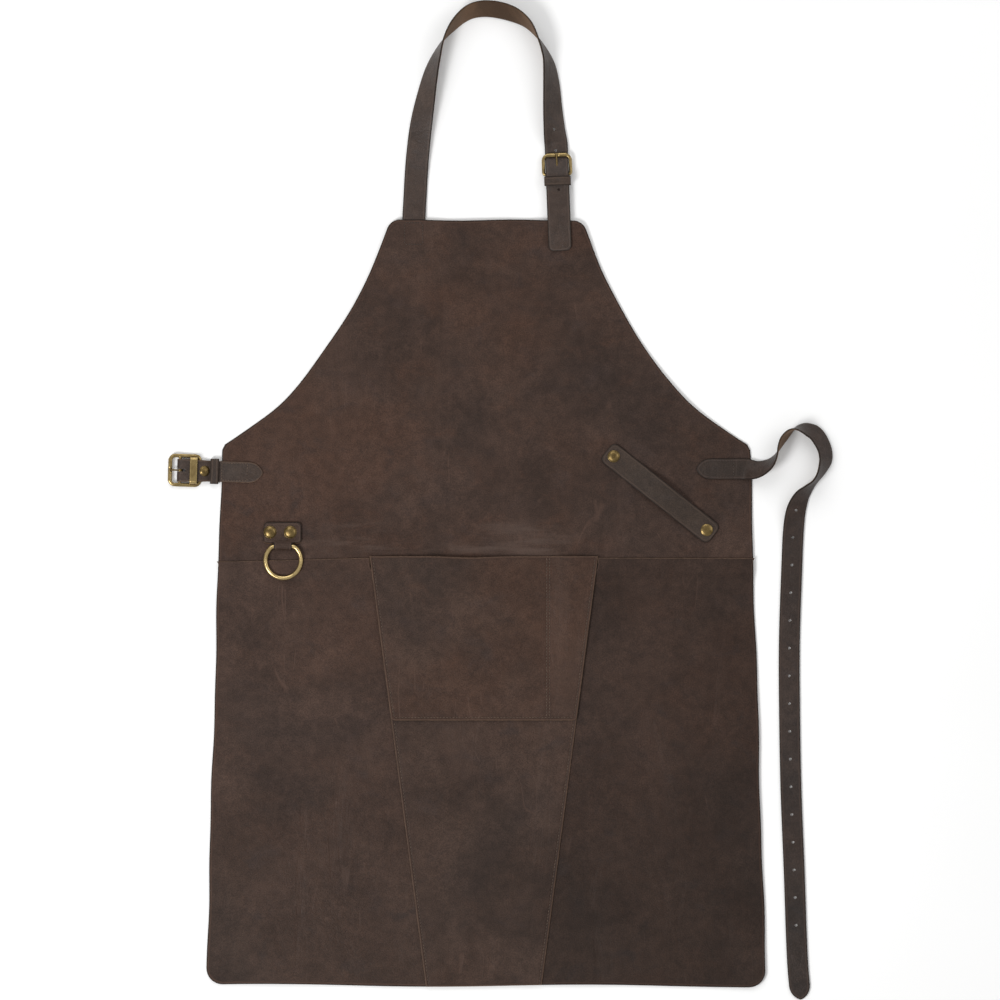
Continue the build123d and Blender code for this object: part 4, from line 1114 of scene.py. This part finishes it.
def make_keeper(name, x_range, width, z_range, turn, place):
    """Leather loop that slides on a strap. x_range and z_range are in its buckle's layout."""
    half, wall = width / 2 + LOOP / 2, LOOP / 2
    corner = 0.6 + wall
    path = np.array(rounded_box(-half, half, z_range[0] - wall, z_range[1] + wall, corner, corner, 7))
    around = arc_length(np.vstack([path, path[:1]]))
    span = x_range[1] - x_range[0]
    insets = np.array([0, 0.12, 0.35, 0.6, 1.2])
    columns = np.concatenate([insets, np.linspace(1.2, span - 1.2, 7)[1:-1], span - insets[::-1]])
    grid = np.array([[(u, v) for v in columns] for u in around[:-1]])
    tangent = unit(np.roll(path, -1, axis=0) - np.roll(path, 1, axis=0))

    def locate(_, v):
        """Point and outward way for each row of the grid, which has one row for each path point."""
        y, z, way_y, way_z = (np.broadcast_to(a[:, None], v.shape) for a in (*path.T, *tangent.T))
        normals = np.stack([0 * v, way_z, -way_y], axis=-1)
        return turned(np.stack([x_range[0] + v, y, z], axis=-1), turn, place), turned(normals, turn, (0, 0))

    materials = leather_set(name, shade(STRAPS, 1.20, 1.19, 1.15), (8, 3, 3), cloud=3, warm=0.2)
    piece = sheet_object(name + "_leather", grid, locate, LOOP, materials, closed=True, rounding=0.5)
    assign(piece, name, name + "_loop")


# ---------------------------------------------------------------- stitches

BOW = np.array([-0.55, -0.16, 0.10, 0.16, 0.10, -0.16, -0.55])        # how each stitch dives at its ends
THICK = np.array([0.6, 0.9, 1.0, 1.0, 1.0, 0.9, 0.6])


def stitch_row(points, pitch=3.5, length=2.5, radius=0.42):
    """Stitches along a line on the leather, each a little slanted across it."""
    distance = arc_length(points)
    count = max(1, int(distance[-1] // pitch))
    start = (distance[-1] - count * pitch) / 2
    parts = []
    for index in range(count):
        at = start + (index + 0.5) * pitch + np.linspace(-0.5, 0.5, len(BOW)) * length
        line = np.stack([np.interp(at, distance, points[:, k]) for k in range(3)], axis=1)
        line[:, 2] += BOW
        slant = np.cross(unit(line[-1] - line[0]), (0, 0, 1)) * 0.10
        line += slant * np.linspace(-1, 1, len(BOW))[:, None]
        parts.append(tube(line, radius * THICK, sides=8))
    return parts


def lay_on(place, ends, thickness=PANEL):
    """Points of a stitch line, taken from flat x and y to the top of a panel."""
    length = math.dist(*ends)
    at = np.linspace(0, length, max(2, round(length / 2.0)))
    x, y = (np.interp(at, (0, length), values) for values in zip(*ends))
    line, normals = place(x, y)
    return line + normals * (thickness / 2)


def make_thread(seam, node, lines, material, **size):
    vertices, faces = joined(part for line in lines for part in stitch_row(line, **size))
    assign(new_object(seam + "_stitches", vertices, faces, [material], 60), node)


def box_lines(place, x_range, y_range, thickness, turn=0.0, centre=(0.0, 0.0)):
    """Four stitch lines of a sewn box."""
    (x0, x1), (y0, y1) = x_range, y_range
    box = [(x0, y0, 0), (x1, y0, 0), (x1, y1, 0), (x0, y1, 0), (x0, y0, 0)]
    box = turned(box, turn, centre)[:, :2]
    return [lay_on(place, ends, thickness) for ends in zip(box, box[1:])]


def strap_top(x, y):
    """Place function of the middle of a strap end that lies on the bib."""
    z = PANEL + STRAP / 2 + swell(x, y)
    return np.stack([x, y, z], axis=-1), np.broadcast_to((0.0, 0.0, 1.0), np.shape(x) + (3,))


def make_threads(pocket_place):
    """The visible seams: pocket, divider, centre panel and the sewn boxes of the strap ends."""
    top, bottom, inset = MOUTH_Y - 1.5, POCKET_BOTTOM_Y + STITCH_INSET, STITCH_INSET
    pocket = [(centre_x(0, top) + inset, top), (centre_x(0, bottom) + inset, bottom),
              (centre_x(1, bottom) - inset, bottom), (centre_x(1, top) - inset, top)]
    divider = [((DIVIDER_X + shift, top), (DIVIDER_X + shift, POCKET_BOTTOM_Y + 4))
               for shift in (-DIVIDER_HALF, DIVIDER_HALF)]
    centre = [[(centre_x(side, y) + shift, y) for y in (POCKET_BOTTOM_Y - 2, HEM_Y + 2)]
              for side, shift in ((0, inset), (1, -inset))]
    for seam, node, place, pairs in (("pocket", "pocket_thread", pocket_place, zip(pocket, pocket[1:])),
                                     ("divider", "pocket_divider_thread", pocket_place, divider),
                                     ("centre", "centre_panel_thread", surface(lambda x, y: PANEL), centre)):
        make_thread(seam, node, [lay_on(place, pair) for pair in pairs], THREAD)

    on_bib = surface(bib_rise)
    y = WAIST_ROUTE[0][1]
    waist_tab = box_lines(strap_top, (46, 74), (-9.3, 9.3), STRAP, WAIST_TURN, WAIST_BUCKLE)
    waist_strap = box_lines(strap_top, (229, 257), (y - 9, y + 9), STRAP)
    neck_strap, neck_tab = (box_lines(on_bib, (x - 10, x + 10), (281, 304.5), PANEL) for x in STRAP_ENDS_X)
    boxes = {"waist_tab": waist_tab, "waist_strap": waist_strap, "neck_strap": neck_strap,
             "neck_tab": neck_tab}
    for seam, lines in boxes.items():
        material = THREAD if seam == "waist_tab" else DARK_THREAD
        make_thread(seam, seam + "_thread", lines, material, pitch=3.1, length=2.1, radius=0.5)


# ---------------------------------------------------------------- brass

def cap_shape(radius, height):
    """Domed rivet cap with a small rolled rim, turned from its (radius, z) profile."""
    sides = 48
    profile = [(radius * 0.55, 0.0), (radius * 0.93, 0.0), (radius * 0.985, 0.12), (radius, 0.4),
               (radius * 0.985, 0.7), (radius * 0.955, 0.84), (radius * 0.92, 0.86)]
    for t in np.linspace(0.06, 1, 14) * math.pi / 2:
        profile.append((radius * 0.90 * math.cos(t) + 0.02, 0.88 + (height - 0.88) * math.sin(t)))
    angles = np.linspace(0, 2 * math.pi, sides, endpoint=False)
    vertices = [(r * math.cos(a), r * math.sin(a), z) for r, z in profile for a in angles]
    return np.array(vertices), ring_faces(len(profile), sides)


def make_caps(name, node, places, radius, base, height, tilt=0.0, turn=0.0):
    """Rivet caps with a few shallow dents. height is of each cap above its base."""
    parts = []
    for index, ((x, y), rise) in enumerate(zip(places, height)):
        vertices, faces = cap_shape(radius, rise)
        dents = 0.015 * np.sin(vertices[:, 0] * 1.7 + index * 2) * np.sin(vertices[:, 1] * 1.9 + 1)
        vertices[:, 2] += dents * (vertices[:, 2] > 0.9)
        parts.append((turned(tipped(vertices, tilt), turn, (x, y, base)), faces))
    assign(new_object(name, *joined(parts), [DARK_BRASS], 60), node)


def make_rivet_caps():
    low, _ = corners("towel_rivet_caps")
    make_caps("towel_caps", "towel_rivet_caps", TOWEL_ENDS, 6.7, low[2], (2.9, 1.9))
    low, high = corners("ring_rivet_caps")
    radius, y = (high[1] - low[1]) / 2, (high[1] + low[1]) / 2
    make_caps("ring_caps", "ring_rivet_caps", [(low[0] + radius, y), (high[0] - radius, y)], radius, low[2],
              (3.2, 3.2))
    x, y, z = sum(corners("waist_rivet_cap")) / 2
    make_caps("waist_cap", "waist_rivet_cap", [(x - 0.5, y)], 6.0, z - 1.2, (2.9,), 22.5, WAIST_TURN)


def make_ring():
    """Round ring with a straight bar in the fold."""
    radius = (RING_HIGH[0] - RING_LOW[0]) / 2 - RING_WIRE
    centre_y = RING_LOW[1] + RING_WIRE + radius
    rise = RING_BAR_Y - centre_y
    start = math.degrees(math.asin(rise / radius)) - 3
    half = math.sqrt(radius**2 - rise**2) - 0.9
    path = np.array(arc((0, 0), radius, start, -180 - start, 130)
                    + [(x, rise) for x in np.linspace(-half, half, 26)])
    for _ in range(2):
        path = (np.roll(path, 1, axis=0) + 2 * path + np.roll(path, -1, axis=0)) / 4
    points = np.column_stack([path + (RING_X, centre_y), np.full(len(path), RING_BAR_Z)])
    ring = new_object("ring_brass", *tube(points, RING_WIRE, closed=True, sides=24), [BRIGHT_BRASS])
    assign(ring, "tool_ring", "ring")


def make_buckle(name, left, right, width, round_ends, bar, broad, tilt, turn, place, dimple):
    """Cast frame: broad rounded sides, a tip bar with a dimple for the prong and, where bar is given, a
    cross bar.
    """
    inward = WIRE * (broad - 1)
    half = width / 2 - inward
    outline = rounded_box(left + inward, right - inward, -half, half, *round_ends, 9)
    outline = np.array([(x, y, 0) for x, y in outline + outline[:1]])
    distance = arc_length(outline)
    at = np.linspace(0, distance[-1], round(distance[-1] / 0.8), endpoint=False)
    outline = np.stack([np.interp(at, distance, outline[:, k]) for k in range(3)], axis=1)
    reach = width / 2 - round_ends[0] * 0.75
    tip = [(left + 0.5, y, 0) for y in np.linspace(-reach, reach, 25)]
    parts = [tube(outline, WIRE, closed=True, sides=16, flat=(broad, 1.0)),
             tube(tip, WIRE, sides=20, flat=(1.45, 1.04))]
    if bar is not None:
        cross = [(bar, y, 0) for y in np.linspace(1 - width / 2, width / 2 - 1, 9)]
        parts.append(tube(cross, WIRE * 0.98, sides=16))

    def finished(points):
        x, y, z = points.T
        points[:, 2] -= dimple * np.exp(-(y / 1.7)**2) * (z > 0) * (abs(x - left) < 3)
        return turned(tipped(points, tilt), turn, place)

    piece = cast(name + "_frame_brass", parts, 0.33, BRASS, 3)
    reshape(piece, finished)
    assign(piece, name + "_buckle_frame")


def make_prong(name, tip, turn, place):
    """Tapered tongue with an eye that turns on its bar."""
    inner, wall, half = WIRE + 0.05, 1.2, 1.15
    eye = tube([(0, y, 0) for y in np.linspace(-half, half, 5)], inner + wall, sides=40)
    t = np.linspace(0, 1, 24)
    start_x, start_z = -inner - wall * 0.5, 0.5
    x = start_x + (tip[0] - start_x) * t
    z = start_z + (tip[1] - start_z) * t + 0.35 * np.sin(math.pi * t)
    thick = 1.05 - 0.28 * t
    thick[-3:] *= (0.95, 0.8, 0.5)
    tongue = tube(np.column_stack([x, 0 * x, z]), thick, sides=16, flat=(1.0, 0.95))
    piece = cast(name + "_prong_brass", [eye, tongue], 0.26, DARK_BRASS, 4)
    bore = tube([(0, y, 0) for y in np.linspace(-3, 3, 3)], inner, sides=40)
    cut(piece, new_object("bore", *bore, [DARK_BRASS]))
    reshape(piece, lambda points: turned(points, turn, place))
    assign(piece, name + "_buckle_prong", name + "_prong")


def make_waist_band():
    """Metal band that arches over the tab between the buckle's two sides."""
    wall, corner = 1.3, 2.0
    side = (WAIST_FRAME_WIDTH - 6 + wall) / 2
    low, top = 1.6, UPPER_LAYER_Z + STRAP + BAND_ROOM + wall / 2 - corner
    arch = [(side, low), *arc((side - corner, top), corner, 0, 90, 8),
            *arc((corner - side, top), corner, 90, 180, 8), (-side, low)]
    points = turned([(15.05, y, z) for y, z in eased(arch, 0.8, 1)], WAIST_TURN, WAIST_BUCKLE)
    frames = frames_on(points, turned((1, 0, 0), WAIST_TURN, (0, 0)))
    half = 4.05

    def crown(_, v):
        return 0.75 * (1 - (v / half)**2) - 0.2 * np.exp(-((abs(v) - 2.9) / 0.35)**2)

    grid = strap_grid(frames[0][-1], lambda u: (-half, half), 0.9)
    piece = sheet_object("waist_band_brass", grid, strap_place(frames), wall, [BRASS] * 3, relief=crown,
                         rounding=0.6)
    assign(piece, "waist_buckle_band")


def make_brass():
    waist_bar, neck_bar = (*WAIST_BUCKLE, WAIST_BAR_Z), (*NECK_BUCKLE, NECK_BAR_Z)
    make_rivet_caps()
    make_ring()
    make_buckle("waist", -11.4, 22.2, WAIST_FRAME_WIDTH, (5.5, 5.0), 0, 1.32, WAIST_TILT, WAIST_TURN,
                waist_bar, 1.1)
    make_buckle("neck", -22.1, 0, 30.2, (6.4, 2.4), None, 1.15, 0, NECK_TURN, neck_bar, 0.9)
    make_prong("waist", (-12.6, 3.7), WAIST_TURN, waist_bar)
    make_prong("neck", (-23.6, 2.5), NECK_TURN, neck_bar)
    make_waist_band()
    for node in ("towel_rivet_posts", "ring_rivet_posts", "waist_rivet_post", "neck_tab_rivet"):
        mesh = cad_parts[node].data
        mesh.materials.clear()
        mesh.materials.append(BRASS)


# ---------------------------------------------------------------- stage

def make_stage():
    """Pale floor, white surroundings and three soft lamps, as (name, place, size, watts)."""
    bpy.ops.mesh.primitive_plane_add(size=8)
    floor = bpy.context.object
    floor.name = "floor"
    floor.location.z = -0.0004
    floor.data.materials.append(pale_floor("floor_pale"))
    world = bpy.data.worlds.new("studio")
    bpy.context.scene.world = world
    world.use_nodes = True
    background = world.node_tree.nodes["Background"]
    background.inputs["Color"].default_value = (1.0, 1.0, 1.0, 1.0)
    background.inputs["Strength"].default_value = 0.50
    lamps = [("key", (-1.3, -0.95, 2.0), 0.9, 37.5), ("top", (-0.6, 2.2, 1.9), 2.4, 26.0),
             ("fill", (2.1, 0.9, 2.2), 2.4, 17.0)]
    for name, place, size, power in lamps:
        lamp = bpy.data.lights.new(name, "AREA")
        lamp.shape, lamp.size, lamp.energy = "DISK", size, power
        holder = bpy.data.objects.new(name, lamp)
        holder.location = place
        holder.rotation_euler = (-Vector(place)).to_track_quat("-Z", "Y").to_euler()
        bpy.context.scene.collection.objects.link(holder)


def make_camera():
    """Straight above the middle of the layout, with 1.1 m in view across."""
    lens, sensor, view = 400.0, 36.0, 1.1
    camera = bpy.data.cameras.new("camera")
    camera.lens, camera.sensor_width = lens, sensor
    holder = bpy.data.objects.new("camera", camera)
    holder.location = (0, 0, view * lens / sensor + 0.004)
    bpy.context.scene.collection.objects.link(holder)
    bpy.context.scene.camera = holder


make_bib()
for skirt_side in (0, 1):
    make_skirt_side(skirt_side)
make_skirt_centre()
pocket = make_pocket()
make_neck_strap()
make_waist_strap()
make_waist_tab()
make_neck_tab()
make_ring_tab()
make_towel_strap()
make_keeper("waist_keeper", (33.4, 42.6), WAIST_WIDTH + 2.5, (PANEL - 0.1, PANEL + STRAP + BAND_ROOM),
            WAIST_TURN, WAIST_BUCKLE)
make_keeper("neck_keeper", (1.9, 12.0), NECK_WIDTH + 0.8, (UNDER_BIB_Z - 0.08, BILLET_OVER + STRAP + 0.2),
            NECK_TURN, NECK_BUCKLE)
make_threads(pocket)
make_brass()
make_stage()
make_camera()
bpy.context.scene.view_settings.view_transform = "Standard"
